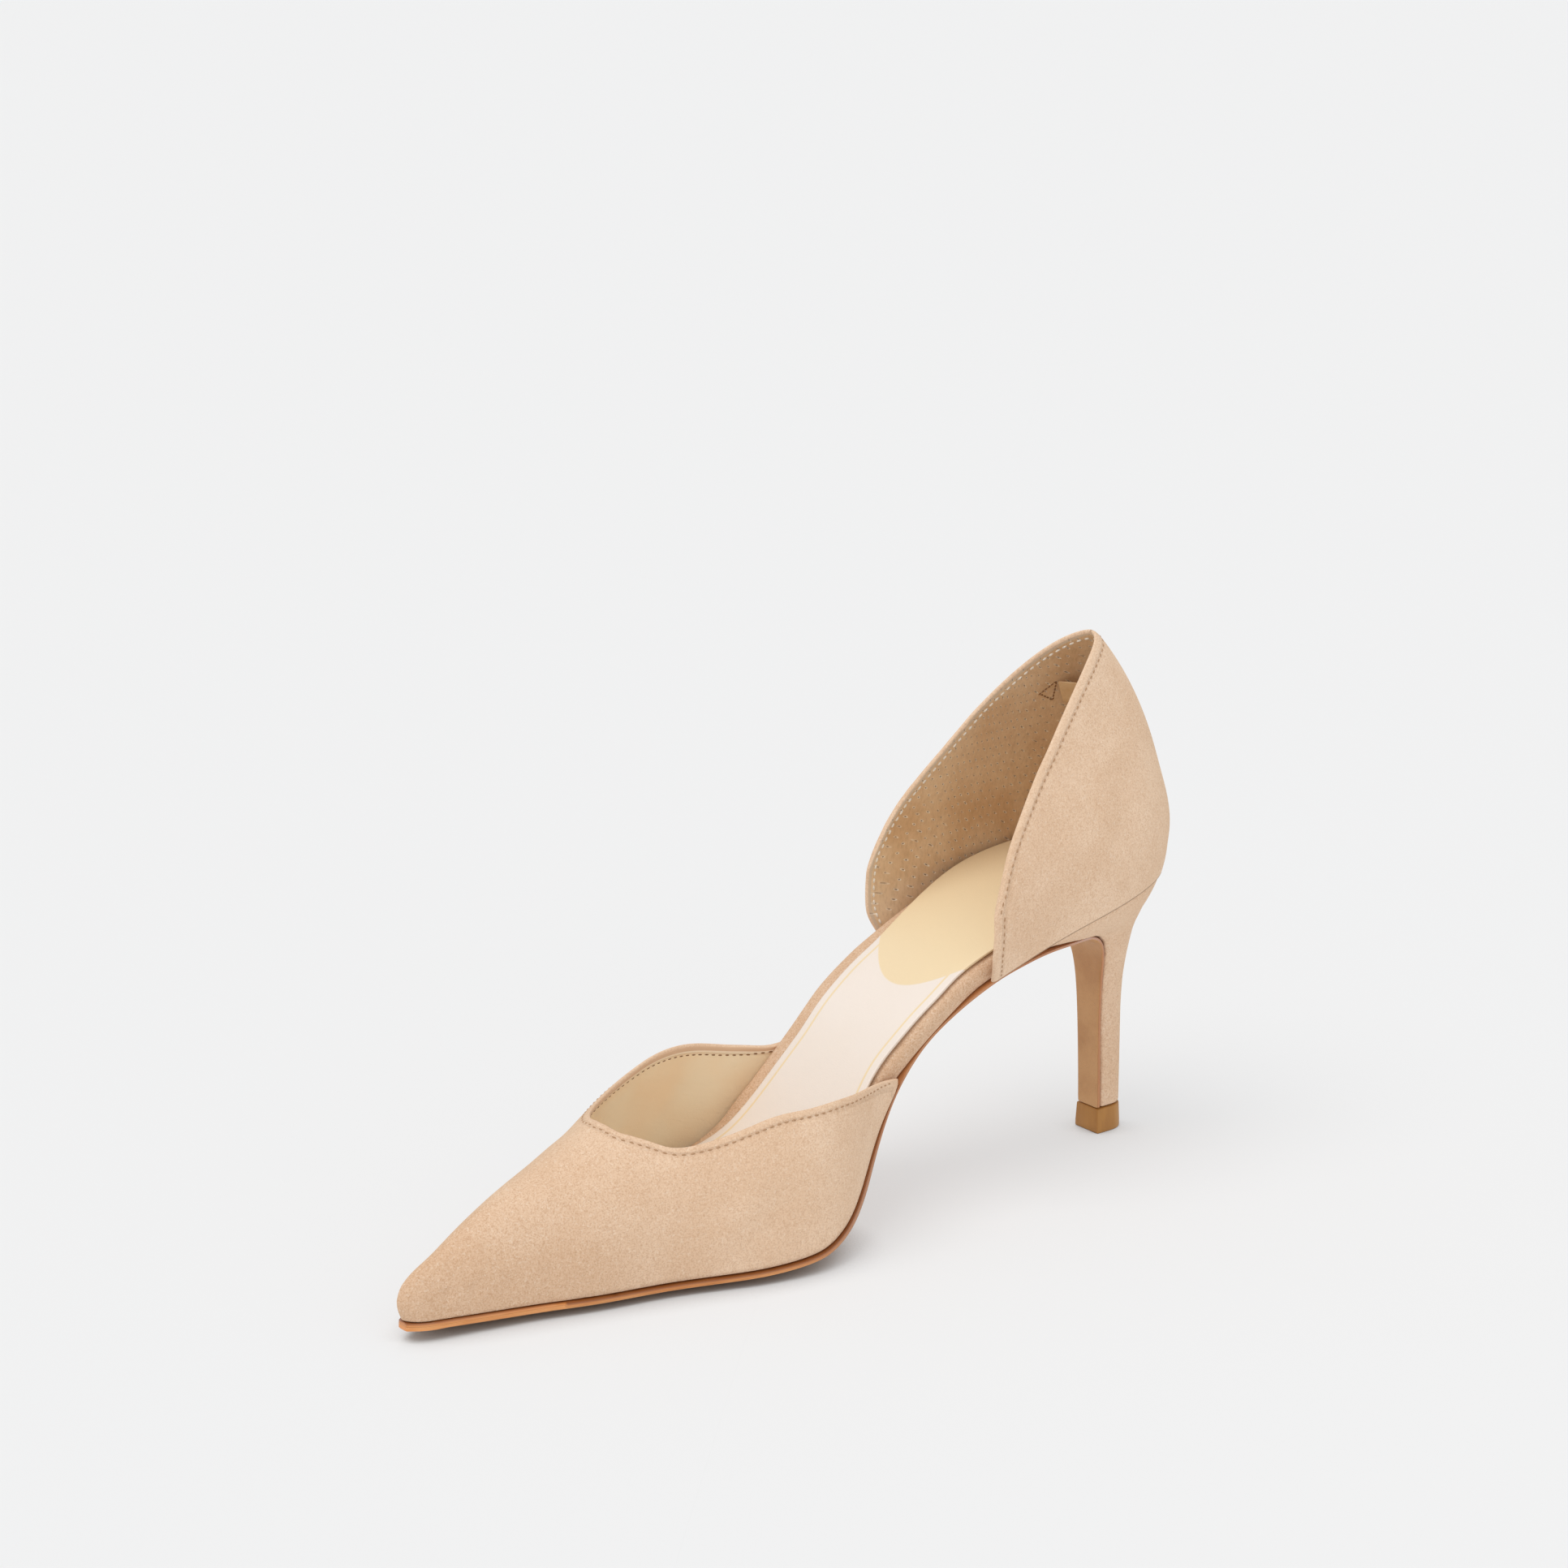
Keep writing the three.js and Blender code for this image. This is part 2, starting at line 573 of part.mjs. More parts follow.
// Edge of a band, rounded off at the back of the seat and at its front end
function bandHalf(x, side, inset, front, back) {
  const shift = x < seatReach ? Math.min(1, (x - back) / (seatReach - back)) * seatReach : x;
  const room = padHalf(Math.max(x < seatReach ? shift : x, 0.1), side, inset);
  const nose = Math.sqrt(Math.max(0, 1 - Math.pow(Math.max(0, 1 - (front - x) / 4), 2)));
  const ridge = (featherY(x, 1) + featherY(x, -1)) / 2;
  const y = side * Math.max(0.6, room);
  return ridge + (y - ridge) * Math.max(0.15, nose);
}

// Outsole: from the toe along the shank, then over the heel's cove and down its breast
function solePath() {
  const rows = [];
  const front = length - 0.3;
  const joinAt = breastPath[0].at * length;
  const count = 44;
  for (let i = 0; i <= count; i += 1) {
    const t = i / count;
    const x = front + (joinAt + 4 - front) * (0.75 * t + 0.25 * (1 - Math.cos((t * Math.PI) / 2)));
    const shank = smooth((0.5 - x / length) / 0.08);
    const proud = 0.45 - 1.4 * smooth((0.46 - x / length) / 0.08);
    const half = [1, -1].map((side) => featherY(Math.min(x, length - 0.6), side) + side * proud);
    rows.push({ x, z: featherZ(x), inner: half[0], outer: half[1],
      thick: soleEdge + (shankEdge - soleEdge) * shank,
      tread: treadCrown * (1 - smooth((0.52 - x / length) / 0.12)) * smooth((1.02 - x / length) / 0.15) });
  }
  for (const row of breastPath) {
    const half = row.half * (seatWidth / 2);
    const skived = smooth((0.85 - row.rise) / 0.15);
    rows.push({ x: row.at * length, z: row.rise * heelHeight, inner: half, outer: -half,
      thick: shankEdge + (breastEdge - shankEdge) * skived, tread: 0 });
  }
  return rows;
}

function soleGeometry() {
  const rows = solePath();
  const rings = rows.map((row, i) => {
    const before = rows[Math.max(0, i - 1)];
    const after = rows[Math.min(rows.length - 1, i + 1)];
    const along = new THREE.Vector3(before.x - after.x, 0, before.z - after.z).normalize();
    const down = new THREE.Vector3(along.z, 0, -along.x);
    const middle = (row.inner + row.outer) / 2;
    const half = (row.inner - row.outer) / 2;
    const at = (share, depth) => {
      const p = new THREE.Vector3(row.x, middle + half * share, row.z).addScaledVector(down, depth);
      p.z = Math.max(0, p.z);
      return p;
    };
    const edge = row.thick;
    const bulge = (share) => edge + row.tread * (1 - share * share);
    return [at(1, 0), at(-1, 0), at(-1, edge * 0.8), at(-0.96, bulge(0.97)), at(-0.7, bulge(0.7)),
      at(-0.4, bulge(0.4)), at(0, bulge(0)), at(0.4, bulge(0.4)), at(0.7, bulge(0.7)),
      at(0.96, bulge(0.97)), at(1, edge * 0.8)];
  });
  return loft(rings);
}

// Upright slab whose outline is drawn in the side view, wide enough to cut any piece
function sideCutter(outline) {
  const contour = outline.map(([x, z]) => new THREE.Vector2(x, z));
  const count = contour.length;
  const points = [ballWidth, -ballWidth].flatMap((y) => contour.map((p) => new THREE.Vector3(p.x, y, p.y)));
  const faces = [];
  for (const [a, b, c] of THREE.ShapeUtils.triangulateShape(contour, [])) {
    faces.push([a, b, c], [c + count, b + count, a + count]);
  }
  for (let a = 0; a < count; a += 1) {
    const b = (a + 1) % count;
    faces.push([b, a, a + count], [b, a + count, b + count]);
  }
  return toSolid(solidGeometry(points, faces));
}

// Heel block: level slices, trimmed by the seat above and by the outsole in front
function heelGeometry() {
  const slices = 26;
  const sides = 22;
  const bottom = liftHeight + gap;
  const rings = [];
  for (let i = 0; i <= slices; i += 1) {
    const t = i / slices;
    const z = bottom + (heelHeight * 1.01 - bottom) * (t < 0.3 ? t * 1.5 : 0.45 + (t - 0.3) * 0.55 / 0.7);
    const level = (name) => column(heelLevels, 'rise', name, z / heelHeight);
    const back = level('back') * length;
    const reach = level('reach') * length;
    const half = level('half') * (seatWidth / 2);
    const ring = [new THREE.Vector3(heelFront * length, half, z)];
    for (let j = 0; j <= sides; j += 1) {
      const angle = (Math.PI * j) / sides - Math.PI / 2;
      const side = Math.sign(-angle);
      const x = back + reach * (1 - Math.pow(Math.cos(angle), 2 / seatRound));
      ring.push(new THREE.Vector3(x, side * half * Math.pow(Math.abs(Math.sin(angle)), 2 / seatRound), z));
    }
    ring.push(new THREE.Vector3(heelFront * length, -half, z));
    rings.push(ring);
  }
  return toGeometry(toSolid(loft(rings)).intersect(sideCutter(heelSideOutline())));
}

// Side view of the heel block: breast, cove, wedge, seat and a margin behind the back
function heelSideOutline() {
  const front = heelFront * length;
  const outline = [];
  for (let i = breastPath.length - 1; i >= 0; i -= 1) {
    const row = breastPath[i];
    const next = breastPath[Math.max(0, i - 1)];
    const last = breastPath[Math.min(breastPath.length - 1, i + 1)];
    const run = new THREE.Vector2((next.at - last.at) * length, (next.rise - last.rise) * heelHeight);
    run.normalize();
    const x = row.at * length - run.y * gap;
    const z = row.rise * heelHeight + run.x * gap;
    if (x < front) outline.push([x, z]);
  }
  outline[0][1] = 0;
  outline.push([front, heelHeight * column(breastPath.slice(0, 6), 'at', 'rise', heelFront) + gap]);
  const steps = 16;
  const behind = -0.1 * length;
  for (let i = 0; i <= steps; i += 1) {
    const x = front * (1 - i / steps);
    outline.push([x, featherZ(x)]);
  }
  outline.push([behind, featherZ(0)], [behind, 0]);
  return outline;
}

// Top lift: the heel tip's own outline with the breast leather, a little wider at the floor
function liftGeometry() {
  const tip = breastPath[breastPath.length - 1];
  const front = tip.at * length + breastEdge;
  const back = heelLevels[0].back * length;
  const half = heelLevels[0].half * (seatWidth / 2);
  const reach = heelLevels[0].reach * length;
  const sides = 20;
  const ring = (z, grow) => {
    const list = [new THREE.Vector3(front + grow, half + grow, z)];
    for (let j = 0; j <= sides; j += 1) {
      const angle = (Math.PI * j) / sides - Math.PI / 2;
      const side = Math.sign(-angle);
      const x = back + reach * (1 - Math.pow(Math.cos(angle), 2 / seatRound));
      const y = side * (half + grow) * Math.pow(Math.abs(Math.sin(angle)), 2 / seatRound);
      list.push(new THREE.Vector3(x - grow * Math.cos(angle), y, z));
    }
    list.push(new THREE.Vector3(front + grow, -half - grow, z));
    return list;
  };
  return loft([ring(0, liftFlare), ring(liftHeight * 0.25, liftFlare), ring(liftHeight, 0.1)]);
}

// Strap across the inside of the quarter, stitched to both walls and bowed towards the back
function strapGeometry() {
  const z = heelHeight + counterHeight * strapUp;
  const clear = upperWall + gap;
  const count = 20;
  const anchors = [-0.5, 0.5].map((share) => {
    const p = quarterPoint(strapReach, 1, z + strapWidth * share);
    return { x: p.x, y: p.y - clear - strapThickness, z: p.z };
  });
  const rings = [];
  for (let i = 0; i <= count; i += 1) {
    const t = 1 - (2 * i) / count;
    const ring = anchors.map((end) => [0, strapThickness].map((deep) => (
      new THREE.Vector3(end.x - strapBow * (1 - t * t) + deep, end.y * t, end.z))));
    rings.push([ring[0][0], ring[0][1], ring[1][1], ring[1][0]]);
  }
  return loft(rings);
}

const suede = new THREE.MeshStandardMaterial({ color: 0xdebe9b, roughness: 0.95, metalness: 0 });
const soleLeather = new THREE.MeshStandardMaterial({ color: 0xaa693c, roughness: 0.35, metalness: 0 });
const sockLeather = new THREE.MeshStandardMaterial({ color: 0xeddfc8, roughness: 0.6, metalness: 0 });
const liftPlastic = new THREE.MeshStandardMaterial({ color: 0xa06e32, roughness: 0.5, metalness: 0 });
const liningLeather = new THREE.MeshStandardMaterial({ color: 0xd4b28a, roughness: 0.7, metalness: 0 });

const padLow = () => gap;
const padHigh = (x) => gap + padThickness(x);
const sockLow = (x) => padHigh(x) + gap;
const sockHigh = (x) => sockLow(x) + sockThickness;
const pieces = [
  ['outsole', soleGeometry(), soleLeather],
  ['heel', heelGeometry(), suede],
  ['top_lift', liftGeometry(), liftPlastic],
  ['insole', bandGeometry(length - toeWall - 6, padInset, padLow, padHigh, 1.4), suede],
  ['sock_lining', bandGeometry(length - toeWall - 12, sockInset, sockLow, sockHigh, 0.4), sockLeather],
  ['vamp', vampGeometry(), suede],
  ['quarter', quarterGeometry(), suede],
  ['heel_strap', strapGeometry(), liningLeather],
];

const shoe = new THREE.Group();
for (const [name, geometry, material] of pieces) {
  const mesh = new THREE.Mesh(geometry, material);
  mesh.name = name;
  shoe.add(mesh);
}

// The origin is the middle of the shoe's box, on the floor
const box = new THREE.Box3().setFromObject(shoe);
const centre = box.getCenter(new THREE.Vector3());
shoe.position.set(-centre.x, -centre.y, -box.min.z);

export default shoe;
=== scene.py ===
# High heel pump, right shoe: suede, linings, stitching, sole finish, light and camera around the solids.
# Metres. +X runs to the toe, +Y to the big-toe side, +Z up.
import math

import bpy
from mathutils import Matrix, Vector
from mathutils.bvhtree import BVHTree
from mathutils.kdtree import KDTree


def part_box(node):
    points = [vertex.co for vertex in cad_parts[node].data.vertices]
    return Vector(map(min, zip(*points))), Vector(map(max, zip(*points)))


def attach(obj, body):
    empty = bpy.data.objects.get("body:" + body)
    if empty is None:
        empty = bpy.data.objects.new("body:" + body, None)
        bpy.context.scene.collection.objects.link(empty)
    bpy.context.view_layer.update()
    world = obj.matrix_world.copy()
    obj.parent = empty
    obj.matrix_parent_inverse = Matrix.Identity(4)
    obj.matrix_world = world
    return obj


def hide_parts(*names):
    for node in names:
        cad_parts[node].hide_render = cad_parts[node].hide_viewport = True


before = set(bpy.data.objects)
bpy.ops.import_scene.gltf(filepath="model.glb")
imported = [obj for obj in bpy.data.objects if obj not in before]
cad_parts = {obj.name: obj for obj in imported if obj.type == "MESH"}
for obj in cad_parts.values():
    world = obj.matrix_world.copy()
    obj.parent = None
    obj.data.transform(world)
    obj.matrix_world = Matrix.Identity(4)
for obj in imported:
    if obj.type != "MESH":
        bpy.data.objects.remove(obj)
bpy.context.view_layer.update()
bpy.ops.object.select_all(action="DESELECT")

mm = 0.001
heelPlane = (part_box("top_lift")[0].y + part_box("top_lift")[1].y) / 2
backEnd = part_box("quarter")[0].x
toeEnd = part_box("vamp")[1].x
outerSkin, liningSkin, foldSkin, hemSkin = 0, 1, 2, 3


# Small helpers

def say(text):
    print("scene:", text)


def linear(code):
    channels = [int(code[i:i + 2], 16) / 255 for i in (0, 2, 4)]
    return tuple(c / 12.92 if c <= 0.04045 else ((c + 0.055) / 1.055) ** 2.4 for c in channels) + (1.0,)


def onlySelect(piece):
    bpy.ops.object.select_all(action="DESELECT")
    piece.select_set(True)
    bpy.context.view_layer.objects.active = piece


def applyModifier(piece, kind, **values):
    modifier = piece.modifiers.new(kind.title(), kind)
    for key, value in values.items():
        setattr(modifier, key, value)
    onlySelect(piece)
    bpy.ops.object.modifier_apply(modifier=modifier.name)


def smoothShade(piece, angle=180):
    onlySelect(piece)
    bpy.ops.object.shade_smooth_by_angle(angle=math.radians(angle))


def copyNode(node, name):
    # A merged copy of a solid, in quads, with no materials of its own
    piece = bpy.data.objects.new(name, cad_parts[node].data.copy())
    bpy.context.scene.collection.objects.link(piece)
    piece.data.materials.clear()
    onlySelect(piece)
    bpy.ops.mesh.customdata_custom_splitnormals_clear()
    bpy.ops.object.mode_set(mode="EDIT")
    bpy.ops.mesh.select_all(action="SELECT")
    bpy.ops.mesh.remove_doubles(threshold=0.01 * mm)
    bpy.ops.mesh.tris_convert_to_quads(face_threshold=math.radians(50), shape_threshold=math.radians(70))
    bpy.ops.object.mode_set(mode="OBJECT")
    return piece


def deselect(piece, kind):
    # Leaves nothing of the mesh selected, ready to pick its edges or faces
    onlySelect(piece)
    bpy.ops.object.mode_set(mode="EDIT")
    bpy.ops.mesh.select_mode(type=kind)
    bpy.ops.mesh.select_all(action="DESELECT")
    bpy.ops.object.mode_set(mode="OBJECT")


def rounded(piece, levels=2):
    applyModifier(piece, "SUBSURF", levels=levels, render_levels=levels)


def creaseSharp(piece, angle, amount):
    onlySelect(piece)
    bpy.ops.object.mode_set(mode="EDIT")
    bpy.ops.mesh.select_all(action="DESELECT")
    bpy.ops.mesh.edges_select_sharp(sharpness=math.radians(angle))
    bpy.ops.transform.edge_crease(value=amount)
    bpy.ops.object.mode_set(mode="OBJECT")


def roundedCopy(node, name, sharp, crease, levels=2):
    # A copy rounded by subdivision, with a crease along its sharp edges
    piece = copyNode(node, name)
    creaseSharp(piece, sharp, crease)
    rounded(piece, levels)
    return piece


def skinsByEdge(piece):
    # The skins on either side of each edge. A face's skin is the number of its material.
    skins = {}
    for face in piece.data.polygons:
        for key in face.edge_keys:
            skins.setdefault(key, set()).add(face.material_index)
    return skins


def creaseEdges(piece, chosen, amount):
    # Creases the edges where just the chosen skins meet
    skins = skinsByEdge(piece)
    deselect(piece, "EDGE")
    for edge in piece.data.edges:
        edge.select = skins.get(edge.key) == chosen
    bpy.ops.object.mode_set(mode="EDIT")
    bpy.ops.transform.edge_crease(value=amount)
    bpy.ops.object.mode_set(mode="OBJECT")


def treeOf(piece, skin=None):
    mesh = piece.data
    faces = [p.vertices for p in mesh.polygons if skin is None or p.material_index == skin]
    return BVHTree.FromPolygons([v.co for v in mesh.vertices], faces)


def nearTree(points):
    tree = KDTree(len(points))
    for i, point in enumerate(points):
        tree.insert(point, i)
    tree.balance()
    return tree


def writeValues(piece, name, values):
    # One number for each point, for the materials to read
    layer = piece.data.attributes.new(name, "FLOAT", "POINT")
    layer.data.foreach_set("value", values)


def writeDistances(piece, name, points):
    # How far each point of the piece lies from the nearest of the points given
    tree = nearTree(points)
    writeValues(piece, name, [tree.find(vertex.co)[2] for vertex in piece.data.vertices])


def dress(piece, *materials):
    for material in materials:
        piece.data.materials.append(material)


def handIn(piece, node):
    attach(piece, "root")
    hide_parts(node)


# Node helpers

def addNode(material, kind, inputs=None, **settings):
    node = material.node_tree.nodes.new("ShaderNode" + kind)
    for key, value in settings.items():
        setattr(node, key, value)
    for key, value in (inputs or {}).items():
        if isinstance(value, bpy.types.NodeSocket):
            material.node_tree.links.new(value, node.inputs[key])
        else:
            node.inputs[key].default_value = value
    return node


def newMaterial(name, **sockets):
    material = bpy.data.materials.new(name)
    material.use_nodes = True
    shader = material.node_tree.nodes["Principled BSDF"]
    for key, value in sockets.items():
        shader.inputs[key.replace("_", " ")].default_value = value
    place = addNode(material, "TexCoord").outputs["Object"]
    return material, shader, place


def wire(material, output, shader, socket):
    material.node_tree.links.new(output, shader.inputs[socket])


def finished(material, shader, colour, normal=None):
    wire(material, colour, shader, "Base Color")
    if normal is not None:
        wire(material, normal, shader, "Normal")
    return material


def calc(material, operation, first, second=0.0):
    return addNode(material, "Math", {0: first, 1: second}, operation=operation).outputs[0]


def times(material, first, second):
    return calc(material, "MULTIPLY", first, second)


def apart(material, value, middle):
    # How far a value is from a middle, on either side
    return calc(material, "ABSOLUTE", calc(material, "SUBTRACT", value, middle))


def mixTones(material, share, first, second):
    node = addNode(material, "Mix", {0: share, 6: first, 7: second}, data_type="RGBA")
    return node.outputs[2]


def twoTones(material, share, values):
    return mixTones(material, share, linear(values["dark"]), linear(values["light"]))


def tint(material, colour, share, code):
    return mixTones(material, share, colour, linear(code))


def ramp(material, value, low, high, start=0.0, end=1.0):
    limits = {"Value": value, "From Min": low, "From Max": high, "To Min": start, "To Max": end}
    return addNode(material, "MapRange", limits, interpolation_type="SMOOTHSTEP").outputs["Result"]


def noise(material, place, size, detail=2.0, roughness=0.5, distortion=0.0):
    values = {"Vector": place, "Scale": 1 / size, "Detail": detail, "Roughness": roughness,
              "Distortion": distortion}
    return addNode(material, "TexNoise", values).outputs["Fac"]


def attribute(material, name):
    return addNode(material, "Attribute", attribute_name=name).outputs["Fac"]


def axes(material, place):
    return addNode(material, "SeparateXYZ", {0: place}).outputs


def stretch(material, place, scale, turn=(0.0, 0.0, 0.0)):
    values = {"Vector": place, "Rotation": turn, "Scale": scale}
    return addNode(material, "Mapping", values).outputs["Vector"]


def bumps(material, height, depth, under=None):
    values = {"Height": height, "Distance": depth}
    if under is not None:
        values["Normal"] = under
    return addNode(material, "Bump", values).outputs["Normal"]


# Finishes

suede = {
    "light": "F2D4B7", "dark": "EAC9AA", "nap": "C0946F", "fleck": "FBEAD6", "sheen": "FFE9CC",
    "cloudSize": 18 * mm, "napSize": 0.85 * mm, "grainSize": 0.40 * mm, "fleckSize": 0.55 * mm,
    "napShare": 0.16, "grainShare": 0.34, "fleckShare": 0.26, "toeReach": 110 * mm,
    "napDepth": 0.16 * mm, "grainHeight": 0.8,
    "fold": "E0BE9E", "foldFrom": 0.3 * mm, "foldTo": 1.5 * mm, "foldShare": 0.18,
    "seam": "A67C5A", "seamAt": 2.1 * mm, "seamWidth": 0.9 * mm, "seamDepth": 0.24 * mm, "troughShadeShare": 0.12,
    "backWidth": 0.45 * mm, "backEnds": (backEnd + 24 * mm, backEnd + 26 * mm), "backShare": 0.35,
    "hem": "7C5A3E", "hemShadeEnds": (0.1 * mm, 0.55 * mm), "hemShadeShare": 0.75,
}


def suedeMaterial(name, seamed=False, backSeam=False, hemShaded=False, paintedShade=0.0, toePaintedShade=0.0):
    # Brushed suede. Along a topline it has a fold and a sewn trough, and behind, a closed back seam.
    # Painted shade can darken the whole piece, the toe, the sewn trough and a line along the quarter's
    # lower edge.
    material, shader, place = newMaterial(name, Roughness=0.92, Sheen_Weight=0.35, Sheen_Roughness=0.45,
                                          Specular_IOR_Level=0.12)
    shader.inputs["Sheen Tint"].default_value = linear(suede["sheen"])
    cloud = noise(material, place, suede["cloudSize"], 3.0, 0.5, 0.4)
    brushed = stretch(material, place, (1.0, 1.0, 0.6), (0.0, 0.5, 0.3))
    nap = noise(material, brushed, suede["napSize"], 4.0, 0.62, 0.2)
    grain = noise(material, place, suede["grainSize"], 2.0, 0.6)
    fleck = noise(material, stretch(material, place, (1.0, 0.7, 1.0)), suede["fleckSize"], 1.0, 0.4)
    colour = twoTones(material, ramp(material, cloud, 0.32, 0.68), suede)
    fibre = calc(material, "ADD", ramp(material, nap, 0.42, 0.70, 0.0, suede["napShare"]),
                 ramp(material, grain, 0.42, 0.66, 0.0, suede["grainShare"]))
    # Painted shade: shade darkens the whole piece towards the nap colour, for pieces the light reaches less
    fibre = calc(material, "ADD", fibre, paintedShade)
    # Painted shade: the suede darkens towards the toe
    if toePaintedShade:
        along = axes(material, place)[0]
        paintedToeShade = ramp(material, along, toeEnd - suede["toeReach"], toeEnd, 0.0, toePaintedShade)
        fibre = calc(material, "ADD", fibre, paintedToeShade)
    colour = tint(material, colour, fibre, suede["nap"])
    flecks = ramp(material, fleck, 0.58, 0.72, 0.0, suede["fleckShare"])
    colour = tint(material, colour, flecks, suede["fleck"])
    height = calc(material, "ADD", nap, times(material, grain, suede["grainHeight"]))
    normal = bumps(material, height, suede["napDepth"])
    if seamed:
        edge = attribute(material, "edgeDistance")
        fold = ramp(material, edge, suede["foldFrom"], suede["foldTo"], suede["foldShare"], 0.0)
        colour = tint(material, colour, fold, suede["fold"])
        offLine = apart(material, edge, suede["seamAt"])
        trough = ramp(material, offLine, 0.0, suede["seamWidth"], -1.0, 0.0)
        # Painted shade: darker along the sewn trough, which also has a bump
        colour = tint(material, colour, times(material, trough, -suede["troughShadeShare"]), suede["seam"])
        normal = bumps(material, trough, suede["seamDepth"], normal)
    if backSeam:
        along, across, _ = axes(material, place)
        behind = ramp(material, along, *suede["backEnds"], 1.0, 0.0)
        aside = apart(material, across, heelPlane)
        trough = times(material, ramp(material, aside, 0.0, suede["backWidth"], -1.0, 0.0), behind)
        colour = tint(material, colour, times(material, trough, -suede["backShare"]), suede["seam"])
        normal = bumps(material, trough, suede["seamDepth"], normal)
    if hemShaded:
        # Painted shade: a dark line along the quarter's lower edge, in the gap above the heel
        hem = ramp(material, attribute(material, "hemDistance"), *suede["hemShadeEnds"], suede["hemShadeShare"], 0.0)
        colour = tint(material, colour, hem, suede["hem"])
    return finished(material, shader, colour, normal)


vampLining = {
    "dark": "FFE7C2", "light": "FFEFCF", "shadow": "B98F64", "cut": "FBEBD2",
    "cloudSize": 18 * mm, "grainSize": 0.5 * mm, "wrinkleSize": 2.2 * mm, "depth": 0.12 * mm,
    "foldEnds": (1.0 * mm, 1.2 * mm), "cutEnds": (1.5 * mm, 1.8 * mm), "shadowEnds": (1.9 * mm, 2.4 * mm),
    "shadowShare": 0.3, "grainHeight": 0.3,
}


def vampLiningMaterial():
    # Smooth calf lining with fine grain, a turned suede edge and a pale cut edge along the topline
    values = vampLining
    material, shader, place = newMaterial("vampLining", Roughness=0.5, Specular_IOR_Level=0.35)
    cloud = noise(material, place, values["cloudSize"])
    grain = noise(material, place, values["grainSize"], 4.0, 0.6)
    drawn = stretch(material, place, (0.35, 1.0, 1.0))
    wrinkle = noise(material, drawn, values["wrinkleSize"], 3.0, 0.5, 0.8)
    colour = twoTones(material, ramp(material, cloud, 0.3, 0.7), values)
    edge = attribute(material, "edgeDistance")
    shadow = ramp(material, edge, *values["shadowEnds"], values["shadowShare"], 0.0)
    colour = tint(material, colour, shadow, values["shadow"])
    colour = tint(material, colour, ramp(material, edge, *values["cutEnds"], 1.0, 0.0), values["cut"])
    colour = tint(material, colour, ramp(material, edge, *values["foldEnds"], 1.0, 0.0), suede["fold"])
    height = calc(material, "ADD", times(material, grain, values["grainHeight"]), wrinkle)
    return finished(material, shader, colour, bumps(material, height, values["depth"]))


quarterLining = {
    "dark": "D4AE83", "light": "E6C9A4", "fibre": "A5825F", "lip": "F6E8D2", "core": "6A4D35",
    "cut": "CDB9A2", "cloudSize": 16 * mm, "fibreSize": 0.8 * mm, "fadeSize": 5 * mm, "depth": 0.2 * mm,
    "pitch": 3.0 * mm, "row": 2.5 * mm, "slant": 0.9, "strayReach": 1.6 * mm, "straySize": 4 * mm,
    "lipAt": 0.34 * mm, "lipWidth": 0.22 * mm, "lipShare": 0.95,
    "coreEnds": (0.08 * mm, 0.24 * mm), "coreShare": 0.85, "dentEnds": (0.1 * mm, 0.4 * mm),
    "cutEnds": (0.6 * mm, 1.0 * mm), "cutShare": 0.8, "fibreHeight": 0.25,
}


def pinholes(material, place):
    # Distance to the nearest hole of a slanted, slightly uneven grid
    values = quarterLining
    run = attribute(material, "girthRun")
    level = attribute(material, "levelRun")
    stray = times(material, noise(material, place, values["straySize"], 1.0), values["strayReach"])
    run = calc(material, "ADD", calc(material, "ADD", run, stray), times(material, level, values["slant"]))
    across = calc(material, "PINGPONG", run, values["pitch"] / 2)
    up = calc(material, "PINGPONG", calc(material, "SUBTRACT", level, stray), values["row"] / 2)
    squares = calc(material, "ADD", times(material, across, across), times(material, up, up))
    return calc(material, "SQRT", squares)


def quarterLiningMaterial():
    # Brushed lining with rows of pinholes, each with a pale lip
    values = quarterLining
    material, shader, place = newMaterial("quarterLining", Roughness=0.75, Specular_IOR_Level=0.25,
                                          Sheen_Weight=0.15)
    cloud = noise(material, place, values["cloudSize"], 3.0)
    fibre = noise(material, stretch(material, place, (1.0, 1.0, 0.45)), values["fibreSize"], 4.0, 0.6)
    colour = twoTones(material, ramp(material, cloud, 0.3, 0.7), values)
    colour = tint(material, colour, ramp(material, fibre, 0.4, 0.75, 0.0, 0.3), values["fibre"])
    holes = pinholes(material, place)
    fade = ramp(material, noise(material, place, values["fadeSize"]), 0.40, 0.62, 0.45, 1.0)
    offLip = apart(material, holes, values["lipAt"])
    lip = ramp(material, offLip, 0.0, values["lipWidth"], values["lipShare"], 0.0)
    colour = tint(material, colour, times(material, lip, fade), values["lip"])
    core = ramp(material, holes, *values["coreEnds"], values["coreShare"], 0.0)
    colour = tint(material, colour, times(material, core, fade), values["core"])
    cut = ramp(material, attribute(material, "edgeDistance"), *values["cutEnds"], values["cutShare"], 0.0)
    colour = tint(material, colour, cut, values["cut"])
    dent = ramp(material, holes, *values["dentEnds"], -1.0, 0.0)
    height = calc(material, "ADD", times(material, fibre, values["fibreHeight"]), dent)
    return finished(material, shader, colour, bumps(material, height, values["depth"]))


sock = {
    "cream": "F1E5DA", "honey": "F0D9B1", "cloud": "E2CDB0", "shadedRim": "B99670",
    "cloudSize": 22 * mm, "grainSize": 0.35 * mm, "depth": 0.05 * mm,
    "panelEnds": (backEnd + 88.8 * mm, backEnd + 89.2 * mm), "panelRound": 34.0,
    "lineAt": 2.6 * mm, "lineEnds": (0.25 * mm, 0.4 * mm), "shadedRimEnds": (0.05 * mm, 0.4 * mm),
    "outlineFacing": 0.75,
}


